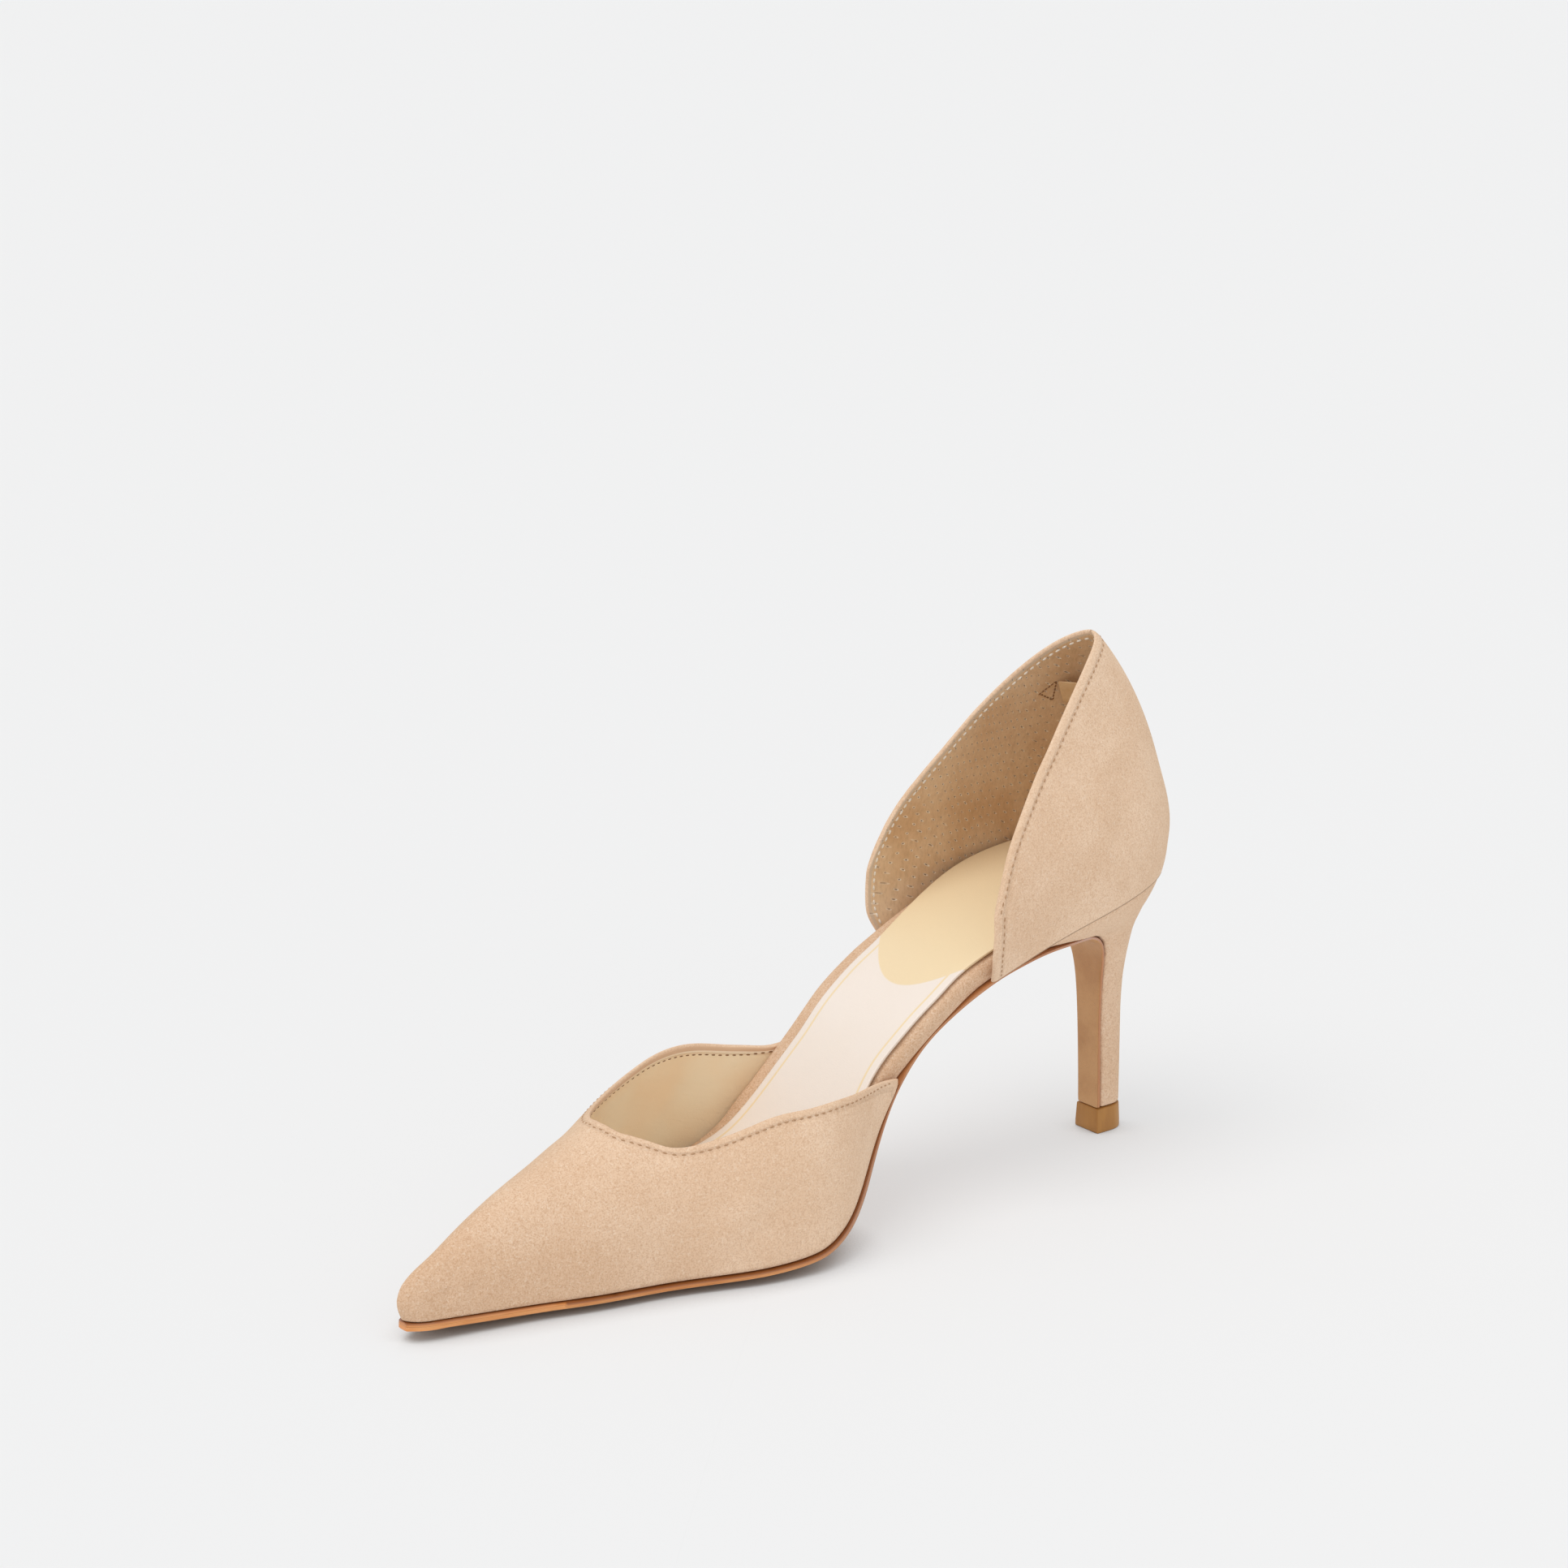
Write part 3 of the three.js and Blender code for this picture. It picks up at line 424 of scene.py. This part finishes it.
def sockMaterial():
    # Cream leather with a honey heel panel, rounded at its front, and a fine honey line inside its edge
    material, shader, place = newMaterial("sockLeather", Roughness=0.42, Specular_IOR_Level=0.4)
    cloud = noise(material, place, sock["cloudSize"])
    grain = noise(material, place, sock["grainSize"], 3.0, 0.6)
    along, side, _ = axes(material, place)
    across = calc(material, "SUBTRACT", side, heelPlane)
    bow = times(material, times(material, across, across), sock["panelRound"])
    front = calc(material, "ADD", along, bow)
    panel = ramp(material, front, *sock["panelEnds"], 1.0, 0.0)
    edge = attribute(material, "edgeDistance")
    line = ramp(material, apart(material, edge, sock["lineAt"]), *sock["lineEnds"], 1.0, 0.0)
    marked = calc(material, "MAXIMUM", panel, line)
    colour = mixTones(material, marked, linear(sock["cream"]), linear(sock["honey"]))
    colour = tint(material, colour, ramp(material, cloud, 0.35, 0.75, 0.0, 0.08), sock["cloud"])
    # Painted shade: darker along the very edge, where the sock meets the pad
    colour = tint(material, colour, ramp(material, edge, *sock["shadedRimEnds"], 0.35, 0.0), sock["shadedRim"])
    return finished(material, shader, colour, bumps(material, grain, sock["depth"]))


soleEdge = {
    "dark": "DE8E48", "light": "EBA360", "waist": "B87C50", "upper": "96501F", "shadedRim": "6B3517",
    "streakSize": 3 * mm, "scoreAt": 1.0 * mm, "scoreEnds": (0.05 * mm, 0.25 * mm), "scoreDepth": 0.15 * mm,
    "waistEnds": (backEnd + 122 * mm, backEnd + 150 * mm), "waistShare": 0.8,
    "foreEnds": (backEnd + 90 * mm, backEnd + 135 * mm), "foreLeast": 0.3,
    "upperEnds": (0.3 * mm, 0.9 * mm), "upperShare": 0.60,
    "shadedRimEnds": (0.05 * mm, 0.4 * mm), "shadedRimShare": 0.55,
}


def soleEdgeMaterial():
    # Waxed edge, scored along its middle, darker in its upper half at the forepart and browner at the waist
    values = soleEdge
    material, shader, place = newMaterial("soleEdge", Roughness=0.28, Specular_IOR_Level=0.55,
                                          Coat_Weight=0.35, Coat_Roughness=0.2)
    streak = noise(material, stretch(material, place, (0.3, 0.3, 1.0)), values["streakSize"], 3.0)
    colour = twoTones(material, ramp(material, streak, 0.3, 0.7), values)
    along = axes(material, place)[0]
    waist = ramp(material, along, *values["waistEnds"], values["waistShare"], 0.0)
    colour = tint(material, colour, waist, values["waist"])
    fore = ramp(material, along, *values["foreEnds"], values["foreLeast"], 1.0)
    deep = attribute(material, "edgeDepth")
    upper = ramp(material, deep, *values["upperEnds"], values["upperShare"], 0.0)
    colour = tint(material, colour, times(material, fore, upper), values["upper"])
    # Painted shade: a dark line along the top of the edge, where the sole meets the upper, fainter towards
    # the heel
    shadedRim = ramp(material, deep, *values["shadedRimEnds"], values["shadedRimShare"], 0.0)
    colour = tint(material, colour, times(material, fore, shadedRim), values["shadedRim"])
    score = ramp(material, apart(material, deep, values["scoreAt"]), *values["scoreEnds"], 1.0, 0.0)
    normal = bumps(material, times(material, score, -1.0), values["scoreDepth"])
    return finished(material, shader, colour, normal)


soleLeather = {"cloudSize": 14 * mm, "poreSize": 0.4 * mm, "pore": "7E5230", "depth": 0.05 * mm}
tread = {"light": "CFA070", "dark": "B98555", "roughness": 0.55}
breast = {"light": "D0A06C", "dark": "BD8A58", "roughness": 0.4}


def soleLeatherMaterial(name, tones):
    material, shader, place = newMaterial(name, Roughness=tones["roughness"], Specular_IOR_Level=0.4)
    cloud = noise(material, place, soleLeather["cloudSize"], 4.0, 0.6)
    pores = noise(material, place, soleLeather["poreSize"], 3.0, 0.6)
    colour = twoTones(material, ramp(material, cloud, 0.3, 0.7), tones)
    colour = tint(material, colour, ramp(material, pores, 0.5, 0.8, 0.0, 0.2), soleLeather["pore"])
    return finished(material, shader, colour, bumps(material, pores, soleLeather["depth"]))


lift = {"dark": "A8743A", "light": "B98443", "cloudSize": 3 * mm, "scuffSize": 0.3 * mm, "depth": 0.03 * mm}


def liftMaterial():
    material, shader, place = newMaterial("liftPlastic", Roughness=0.42, Specular_IOR_Level=0.4)
    cloud = noise(material, stretch(material, place, (1.0, 1.0, 0.3)), lift["cloudSize"])
    scuff = noise(material, stretch(material, place, (1.0, 1.0, 0.1)), lift["scuffSize"])
    colour = twoTones(material, ramp(material, cloud, 0.2, 0.8), lift)
    return finished(material, shader, colour, bumps(material, scuff, lift["depth"]))


strap = {"dark": "CFA97B", "light": "DFBD90",
         "cloudSize": 5 * mm, "grainSize": 0.4 * mm, "depth": 0.08 * mm}


def strapMaterial():
    material, shader, place = newMaterial("strapLeather", Roughness=0.5, Specular_IOR_Level=0.35)
    cloud = noise(material, place, strap["cloudSize"], 3.0)
    grain = noise(material, place, strap["grainSize"], 3.0)
    colour = twoTones(material, ramp(material, cloud, 0.3, 0.7), strap)
    return finished(material, shader, colour, bumps(material, grain, strap["depth"]))


threads = {"brown": "C29A76", "dark": "946D49", "pale": "FBF1E0", "groove": "5F4128",
           "twistSize": 0.15 * mm}


def threadMaterial(name, code):
    material, shader, place = newMaterial(name, Roughness=0.6, Specular_IOR_Level=0.3)
    twist = noise(material, place, threads["twistSize"], 1.0)
    colour = tint(material, linear(code), ramp(material, twist, 0.3, 0.7, 0.0, 0.4), threads["groove"])
    return finished(material, shader, colour)


say("finishes")
# The vamp has painted shade towards the toe
vampSuede = suedeMaterial("vampSuede", seamed=True, toePaintedShade=0.28)
quarterSuede = suedeMaterial("quarterSuede", seamed=True, backSeam=True, hemShaded=True)
# The heel and the pad are the same suede with painted shade over the whole piece
heelSuede = suedeMaterial("heelSuede", backSeam=True, paintedShade=0.12)
padSuede = suedeMaterial("padSuede", paintedShade=0.30)
brownThread = threadMaterial("brownThread", threads["brown"])
darkThread = threadMaterial("darkThread", threads["dark"])
paleThread = threadMaterial("paleThread", threads["pale"])


# Upper: the two hollow walls, folded edges, linings and stitches

wall = {"hemDown": -0.3, "hemAhead": 0.35, "flat": 42, "hemCrease": 0.92,
        "lineStep": 0.5 * mm, "lineReach": 5, "measureStep": 0.25 * mm}


def flatRegion(piece, seed, angle):
    # Faces reached from one face without crossing a sharp edge
    deselect(piece, "FACE")
    piece.data.polygons[seed].select = True
    bpy.ops.object.mode_set(mode="EDIT")
    bpy.ops.mesh.faces_select_linked_flat(sharpness=math.radians(angle))
    bpy.ops.object.mode_set(mode="OBJECT")
    return [face for face in piece.data.polygons if face.select]


def markSkins(piece, core):
    # Sorts the faces of a hollow wall into outer skin, lining, folded edge and the hem at the feather line
    tree = treeOf(piece)
    sideways = Vector((0.0, 1.0, 0.0))
    for face in piece.data.polygons:
        hem = face.normal.z < wall["hemDown"] and face.normal.x < wall["hemAhead"]
        face.material_index = hemSkin if hem else foldSkin
    for skin, start, way in ((outerSkin, core + sideways, -sideways), (liningSkin, core, sideways)):
        seed = tree.ray_cast(start, way)[2]
        for face in flatRegion(piece, seed, wall["flat"]):
            face.material_index = skin


def toplineOf(piece, skin):
    # The line where a skin meets the folded edge, in order from the big-toe side
    links = {}
    for (a, b), skins in skinsByEdge(piece).items():
        if skins == {skin, foldSkin}:
            links.setdefault(a, []).append(b)
            links.setdefault(b, []).append(a)
    where = piece.data.vertices
    ends = [a for a, others in links.items() if len(others) == 1]
    current = max(ends, key=lambda a: where[a].co.y)
    before = None
    line = [where[current].co.copy()]
    while True:
        onward = [b for b in links[current] if b != before]
        if not onward:
            return line
        before, current = current, onward[0]
        line.append(where[current].co.copy())


def resample(line, step):
    points = [line[0].copy()]
    left = step
    for a, b in zip(line, line[1:]):
        run = (b - a).length
        while left <= run:
            points.append(a.lerp(b, left / run))
            left += step
        left -= run
    return points


def evened(line, step, reach):
    # The same line without its small steps, each point the mean of its neighbours
    points = resample(line, step)
    for i in range(1, len(points) - 1):
        near = min(i, len(points) - 1 - i, reach)
        around = points[i - near:i + near + 1]
        points[i] = sum(around, Vector()) / len(around)
    return points


def measureEdge(piece, lines):
    # Writes how far each point lies from the topline of its own skin
    skinOf = {}
    for face in piece.data.polygons:
        for a in face.vertices:
            if face.material_index in lines:
                skinOf[a] = face.material_index
    trees = {skin: nearTree(resample(line, wall["measureStep"])) for skin, line in lines.items()}
    writeValues(piece, "edgeDistance", [trees[skinOf.get(i, outerSkin)].find(vertex.co)[2]
                                        for i, vertex in enumerate(piece.data.vertices)])


def measureHem(piece):
    # Writes how far each point lies from the hem
    hem = {a for face in piece.data.polygons if face.material_index == hemSkin for a in face.vertices}
    writeDistances(piece, "hemDistance", [piece.data.vertices[a].co for a in hem])


def hollowWall(node, name, core, materials):
    # One hollow wall of the upper, sorted, rounded and dressed, with the toplines of its two skins
    piece = copyNode(node, name)
    markSkins(piece, core)
    creaseEdges(piece, {outerSkin, hemSkin}, wall["hemCrease"])
    rounded(piece)
    dress(piece, *materials)
    outer, inner = (evened(toplineOf(piece, skin), wall["lineStep"], wall["lineReach"])
                    for skin in (outerSkin, liningSkin))
    measureEdge(piece, {outerSkin: outer, liningSkin: inner})
    return piece, outer, inner


stitch = {"pitch": 2.05 * mm, "long": 1.30 * mm, "thick": 0.46 * mm, "inset": 2.1 * mm, "sink": 0.06 * mm,
          "skip": 1}
vampStitch = dict(stitch, skip=3)
vampLiningStitch = dict(vampStitch, inset=2.6 * mm)
quarterLiningStitch = dict(stitch, inset=1.7 * mm, thick=0.72 * mm, long=1.5 * mm)
strapStitch = dict(stitch, pitch=1.1 * mm, long=1.0 * mm, thick=0.52 * mm, inset=0.0, skip=0)
tackStitch = dict(strapStitch, pitch=0.45 * mm, thick=0.9 * mm, long=0.7 * mm)


def stitchRow(piece, line, skin, values, material, name):
    # Stitches that follow a line on one skin of a piece, at an inset from its folded edge
    tree = treeOf(piece, skin)
    points = resample(line, values["pitch"])
    rows = []
    for sign in (1, -1):
        row = []
        for i in range(values["skip"], len(points) - values["skip"]):
            along = (points[min(i + 1, len(points) - 1)] - points[max(i - 1, 0)]).normalized()
            start, normal, _, _ = tree.find_nearest(points[i])
            inward = sign * normal.cross(along).normalized()
            spot, normal, _, _ = tree.find_nearest(start + inward * values["inset"])
            row.append((spot, along, normal, (spot - start).length))
        rows.append(row)
    row = max(rows, key=lambda r: sum(place[3] for place in r))
    bpy.ops.mesh.primitive_uv_sphere_add(segments=8, ring_count=6, radius=0.5)
    model = bpy.context.active_object
    model.data.transform(Matrix.Diagonal((values["long"], values["thick"], values["thick"], 1.0)))
    copies = []
    for spot, along, normal, _ in row:
        side = normal.cross(along).normalized()
        along = side.cross(normal)
        turn = Matrix((along, side, normal)).transposed().to_4x4()
        single = bpy.data.objects.new(name, model.data.copy())
        single.data.transform(Matrix.Translation(spot - normal * values["sink"]) @ turn)
        bpy.context.scene.collection.objects.link(single)
        copies.append(single)
    bpy.data.objects.remove(model)
    bpy.ops.object.select_all(action="DESELECT")
    for single in copies:
        single.select_set(True)
    bpy.context.view_layer.objects.active = copies[0]
    bpy.ops.object.join()
    thread = bpy.context.active_object
    thread.name = name
    thread.data.materials.clear()
    thread.data.materials.append(material)
    for face in thread.data.polygons:
        face.use_smooth = True
    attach(thread, "root")


def on(along, side, up):
    # A place on the shoe: from the back, from the heel's middle plane and from the floor, in millimetres
    return Vector((backEnd + along * mm, heelPlane + side * mm, up * mm))


# How many widths a crease reaches, the share of its length that fades at each end, and how much
# a point has to face as the path does, so that a crease keeps to its own side of a wall
pressing = {"reach": 2.5, "ends": 0.2, "facing": 0.1}


def press(piece, creases):
    # Soft troughs laid along a path of places, drawn onto the surface. A negative depth is a ridge.
    tree = treeOf(piece)
    spots = [vertex.co.copy() for vertex in piece.data.vertices]
    normals = [vertex.normal.copy() for vertex in piece.data.vertices]
    for crease in creases:
        path = [tree.find_nearest(on(*place)) for place in crease["path"]]
        ways = [(a[0], b[0] - a[0], i, a[1]) for i, (a, b) in enumerate(zip(path, path[1:]))]
        wide, deep = crease["wide"] * mm, crease["deep"] * mm
        middle = sum((place[0] for place in path), Vector()) / len(path)
        reach = max((place[0] - middle).length for place in path) + pressing["reach"] * wide
        for n, normal in enumerate(normals):
            if (spots[n] - middle).length > reach:
                continue
            best = None
            for start, run, i, facing in ways:
                share = min(1.0, max(0.0, (spots[n] - start).dot(run) / run.length_squared))
                off = (spots[n] - start - run * share).length / wide
                nearest = off < (best[0] if best else pressing["reach"])
                if nearest and normal.dot(facing) > pressing["facing"]:
                    best = (off, (i + share) / len(ways))
            if best:
                fade = min(1.0, best[1] / pressing["ends"], (1 - best[1]) / pressing["ends"])
                spots[n] -= normal * deep * fade * fade * (3 - 2 * fade) * math.exp(-best[0] ** 2)
    for vertex, spot in zip(piece.data.vertices, spots):
        vertex.co = spot


vampCreases = [
    {"path": [(144, 24, 34), (151, 32, 20), (158, 35, 9)], "deep": 0.45, "wide": 4.0},
    {"path": [(131, 21, 34), (137, 30, 22), (142, 34, 11)], "deep": 0.35, "wide": 3.2},
    {"path": [(151, 24, 33), (160, 31, 21), (168, 33, 9)], "deep": -0.30, "wide": 3.6},
    {"path": [(146, -30, 30), (153, -37, 18), (160, -40, 8)], "deep": 0.45, "wide": 4.0},
    {"path": [(133, -28, 32), (138, -36, 20), (143, -39, 10)], "deep": 0.35, "wide": 3.2},
    {"path": [(184, 2, 38), (176, 14, 33), (172, 24, 22)], "deep": 0.35, "wide": 4.5},
    {"path": [(186, -4, 37), (180, -16, 31), (177, -25, 20)], "deep": 0.30, "wide": 4.5},
    {"path": [(196, 6, 32), (210, 7, 25), (224, 6, 17)], "deep": -0.30, "wide": 4.5},
    {"path": [(206, 15, 9), (208, 14, 14)], "deep": 0.25, "wide": 1.6},
    {"path": [(216, 12, 9), (217, 11, 14)], "deep": 0.25, "wide": 1.5},
    {"path": [(225, 10, 9), (226, 9, 13)], "deep": 0.28, "wide": 1.4},
    {"path": [(232, 8, 9), (232, 7, 13)], "deep": 0.28, "wide": 1.3},
    {"path": [(222, -4, 9), (223, -3, 14)], "deep": 0.25, "wide": 1.5},
    {"path": [(212, -11, 9), (213, -10, 14)], "deep": 0.25, "wide": 1.5},
]


def vampPiece():
    core = Vector((toeEnd - 90 * mm, heelPlane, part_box("vamp")[0].z + 14 * mm))
    materials = (vampSuede, vampLiningMaterial(), vampSuede, vampSuede)
    piece, outer, inner = hollowWall("vamp", "vampUpper", core, materials)
    press(piece, vampCreases)
    smoothShade(piece)
    handIn(piece, "vamp")
    stitchRow(piece, outer, outerSkin, vampStitch, brownThread, "vampStitches")
    stitchRow(piece, inner, liningSkin, vampLiningStitch, darkThread, "vampLiningStitches")


quarterCreases = [
    {"path": [(34, 27, 84), (30, 26, 97), (26, 22, 112)], "deep": 0.35, "wide": 6.0},
    {"path": [(58, 27, 72), (54, 27, 84), (48, 25, 96)], "deep": -0.25, "wide": 6.0},
    {"path": [(34, -27, 84), (30, -26, 97), (26, -22, 112)], "deep": 0.35, "wide": 6.0},
    {"path": [(58, -27, 72), (54, -27, 84), (48, -25, 96)], "deep": -0.25, "wide": 6.0},
    {"path": [(8, 18, 80), (3, 10, 82), (1, 0, 83)], "deep": 0.25, "wide": 4.0},
]


girth = {"start": 200 * mm, "centre": 45 * mm, "radius": 30 * mm}
strapSewing = {"beyond": 3.6 * mm, "drop": 0.9 * mm, "within": 0.7 * mm}
backTack = {"along": 2, "across": (-1.8, 0.0, 1.8), "up": 106}


def measureGirth(piece):
    # Writes how far round the heel cup each point lies, and how high, for the rows of pinholes
    angles = [math.atan2(vertex.co.y - heelPlane, backEnd + girth["centre"] - vertex.co.x)
              for vertex in piece.data.vertices]
    levels = [vertex.co.z for vertex in piece.data.vertices]
    writeValues(piece, "girthRun", [girth["start"] + girth["radius"] * angle for angle in angles])
    writeValues(piece, "levelRun", levels)


def sewStrap(piece):
    # A pointed row of stitches on the lining, round each end of the grip strap
    low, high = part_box("heel_strap")
    middle = (low.z + high.z) / 2
    for side, name in ((low.y, "strapTack"), (high.y, "strapTackNear")):
        tip = Vector((high.x + strapSewing["beyond"], side, middle - strapSewing["drop"]))
        upper, lower = (Vector((high.x - strapSewing["within"], side, level)) for level in (high.z, low.z))
        stitchRow(piece, [tip, upper, lower, tip], liningSkin, strapStitch, darkThread, name)


def quarterPiece():
    core = Vector((backEnd + 35 * mm, heelPlane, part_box("quarter")[0].z + 40 * mm))
    materials = (quarterSuede, quarterLiningMaterial(), quarterSuede, heelSuede)
    piece, outer, inner = hollowWall("quarter", "quarterUpper", core, materials)
    measureHem(piece)
    measureGirth(piece)
    press(piece, quarterCreases)
    smoothShade(piece)
    handIn(piece, "quarter")
    stitchRow(piece, outer, outerSkin, stitch, brownThread, "quarterStitches")
    stitchRow(piece, inner, liningSkin, quarterLiningStitch, paleThread, "quarterLiningStitches")
    sewStrap(piece)
    bar = [on(backTack["along"], across, backTack["up"]) for across in backTack["across"]]
    stitchRow(piece, bar, outerSkin, tackStitch, brownThread, "backTack")


say("upper")
vampPiece()
quarterPiece()


# Inside: padded insole, sock lining and grip strap

padCreases = [
    {"path": [(103, 15, 38), (97, 15, 44), (88, 16, 53), (77, 17, 60), (66, 19, 65)],
     "deep": -0.7, "wide": 2.4},
    {"path": [(124, -28, 16), (114, -28, 26), (104, -27, 37), (94, -26, 47), (82, -24, 57), (66, -22, 67)],
     "deep": -0.9, "wide": 2.4},
    {"path": [(101, 13, 42), (99, 17, 37)], "deep": 0.35, "wide": 0.9},
    {"path": [(97, 13, 46), (95, 17, 41)], "deep": 0.25, "wide": 1.1},
    {"path": [(91, 14, 52), (90, 18, 46)], "deep": 0.30, "wide": 1.0},
    {"path": [(86, 14, 57), (84, 18, 51)], "deep": 0.22, "wide": 1.3},
    {"path": [(79, 15, 61), (78, 19, 55)], "deep": 0.35, "wide": 1.0},
    {"path": [(74, 16, 63), (73, 20, 58)], "deep": 0.30, "wide": 0.9},
]


def insolePiece():
    piece = roundedCopy("insole", "insolePad", sharp=60, crease=0.5, levels=3)
    press(piece, padCreases)
    dress(piece, padSuede)
    smoothShade(piece)
    handIn(piece, "insole")


def sockPiece():
    piece = roundedCopy("sock_lining", "sockLining", sharp=40, crease=0.6)
    dress(piece, sockMaterial())
    outline = [vertex.co for vertex in piece.data.vertices if abs(vertex.normal.y) > sock["outlineFacing"]]
    writeDistances(piece, "edgeDistance", outline)
    smoothShade(piece)
    handIn(piece, "sock_lining")


def strapPiece():
    piece = roundedCopy("heel_strap", "gripStrap", sharp=60, crease=0.7)
    dress(piece, strapMaterial())
    smoothShade(piece, 50)
    handIn(piece, "heel_strap")


say("inside")
insolePiece()
sockPiece()
strapPiece()


# Bottom: outsole, covered heel and top lift

sole = {"heelFront": backEnd + 76 * mm, "tipStart": toeEnd - 4 * mm, "tipFacing": 0.6, "sideFacing": 0.72,
        "upFacing": 0.3, "topFacing": 0.5}
edgeSkin, treadSkin, breastSkin = 0, 1, 2


def outsolePiece():
    # The sides, the tip and what faces up take the waxed edge; below is the tread, behind it the breast
    piece = roundedCopy("outsole", "leatherSole", sharp=50, crease=0.75)
    dress(piece, soleEdgeMaterial(), soleLeatherMaterial("treadLeather", tread),
          soleLeatherMaterial("breastLeather", breast))
    for face in piece.data.polygons:
        tip = face.center.x > sole["tipStart"] and face.normal.x > sole["tipFacing"]
        side = abs(face.normal.y) > sole["sideFacing"] or face.normal.z > sole["upFacing"] or tip
        under = breastSkin if face.center.x < sole["heelFront"] else treadSkin
        face.material_index = edgeSkin if side else under
    tops = []
    for vertex in piece.data.vertices:
        behind = vertex.co.x < sole["heelFront"] and vertex.normal.x < -sole["topFacing"]
        if vertex.normal.z > sole["topFacing"] or behind:
            tops.append(vertex.co)
    writeDistances(piece, "edgeDepth", tops)
    smoothShade(piece, 60)
    handIn(piece, "outsole")


def heelPiece():
    piece = copyNode("heel", "coveredHeel")
    applyModifier(piece, "REMESH", mode="VOXEL", voxel_size=0.5 * mm)
    applyModifier(piece, "SMOOTH", factor=0.5, iterations=2)
    dress(piece, heelSuede)
    smoothShade(piece)
    handIn(piece, "heel")


def liftPiece():
    piece = copyNode("top_lift", "topLift")
    applyModifier(piece, "BEVEL", width=0.3 * mm, segments=3, limit_method="ANGLE",
                  angle_limit=math.radians(50))
    dress(piece, liftMaterial())
    smoothShade(piece, 40)
    handIn(piece, "top_lift")


say("bottom")
outsolePiece()
heelPiece()
liftPiece()


# Floor, light and camera

studio = {"floorWide": 30.0, "floorTone": "F1EEEB", "glowTone": "EDF0F3", "sky": "F4F4F4", "skyPower": 0.72,
          "sunPower": 1.25, "sunSoft": 45, "sunTurn": (25, 0, 92),
          "floorGlow": 0.55, "creviceReach": 18 * mm, "creviceEnds": (0.15, 0.75),
          "fillPower": 2.6, "fillWide": 1.4, "fillPlace": (0.15, 1.45, 0.60), "fillTurn": (68, 0, 174)}
view = {"place": (658.26 * mm, 836.55 * mm, 440.40 * mm), "down": 17.0, "turn": 141.803,
        "lens": 103.14, "sensor": 36.0, "nearest": 0.05}


def radians(turn):
    return [math.radians(angle) for angle in turn]


def floorPiece():
    # A pale floor that glows a little, which lightens its shadows, but not in the crevice under the sole,
    # where the missing glow is a painted contact shadow
    bpy.ops.mesh.primitive_plane_add(size=studio["floorWide"], location=(0.0, 0.0, 0.0))
    floor = bpy.context.active_object
    floor.name = "floor"
    material, shader, _ = newMaterial("paleFloor", Roughness=0.9, Specular_IOR_Level=0.1)
    glow = studio["floorGlow"]
    base = [c * (1 - glow) for c in linear(studio["floorTone"])[:3]] + [1.0]
    shader.inputs["Base Color"].default_value = base
    shader.inputs["Emission Color"].default_value = linear(studio["glowTone"])
    reach = {"Distance": studio["creviceReach"]}
    openness = addNode(material, "AmbientOcclusion", reach, samples=4).outputs["AO"]
    # Painted shadow: no glow where the shoe closes over the floor
    lit = ramp(material, openness, *studio["creviceEnds"], 0.0, glow)
    wire(material, lit, shader, "Emission Strength")
    dress(floor, material)


def lights():
    world = bpy.data.worlds.new("studioSky")
    bpy.context.scene.world = world
    world.use_nodes = True
    bpy.context.scene.view_settings.view_transform = "Standard"
    back = world.node_tree.nodes["Background"]
    back.inputs["Color"].default_value = linear(studio["sky"])
    back.inputs["Strength"].default_value = studio["skyPower"]
    bpy.ops.object.light_add(type="SUN", rotation=radians(studio["sunTurn"]))
    sun = bpy.context.active_object
    sun.data.energy = studio["sunPower"]
    sun.data.angle = math.radians(studio["sunSoft"])
    turn = radians(studio["fillTurn"])
    bpy.ops.object.light_add(type="AREA", location=studio["fillPlace"], rotation=turn)
    fill = bpy.context.active_object
    fill.data.energy = studio["fillPower"]
    fill.data.size = studio["fillWide"]


def camera():
    turn = radians((90 - view["down"], 0.0, view["turn"]))
    bpy.ops.object.camera_add(location=view["place"], rotation=turn)
    lens = bpy.context.active_object
    lens.data.lens = view["lens"]
    lens.data.sensor_width = view["sensor"]
    lens.data.clip_start = view["nearest"]
    bpy.context.scene.camera = lens


say("stage")
floorPiece()
lights()
camera()
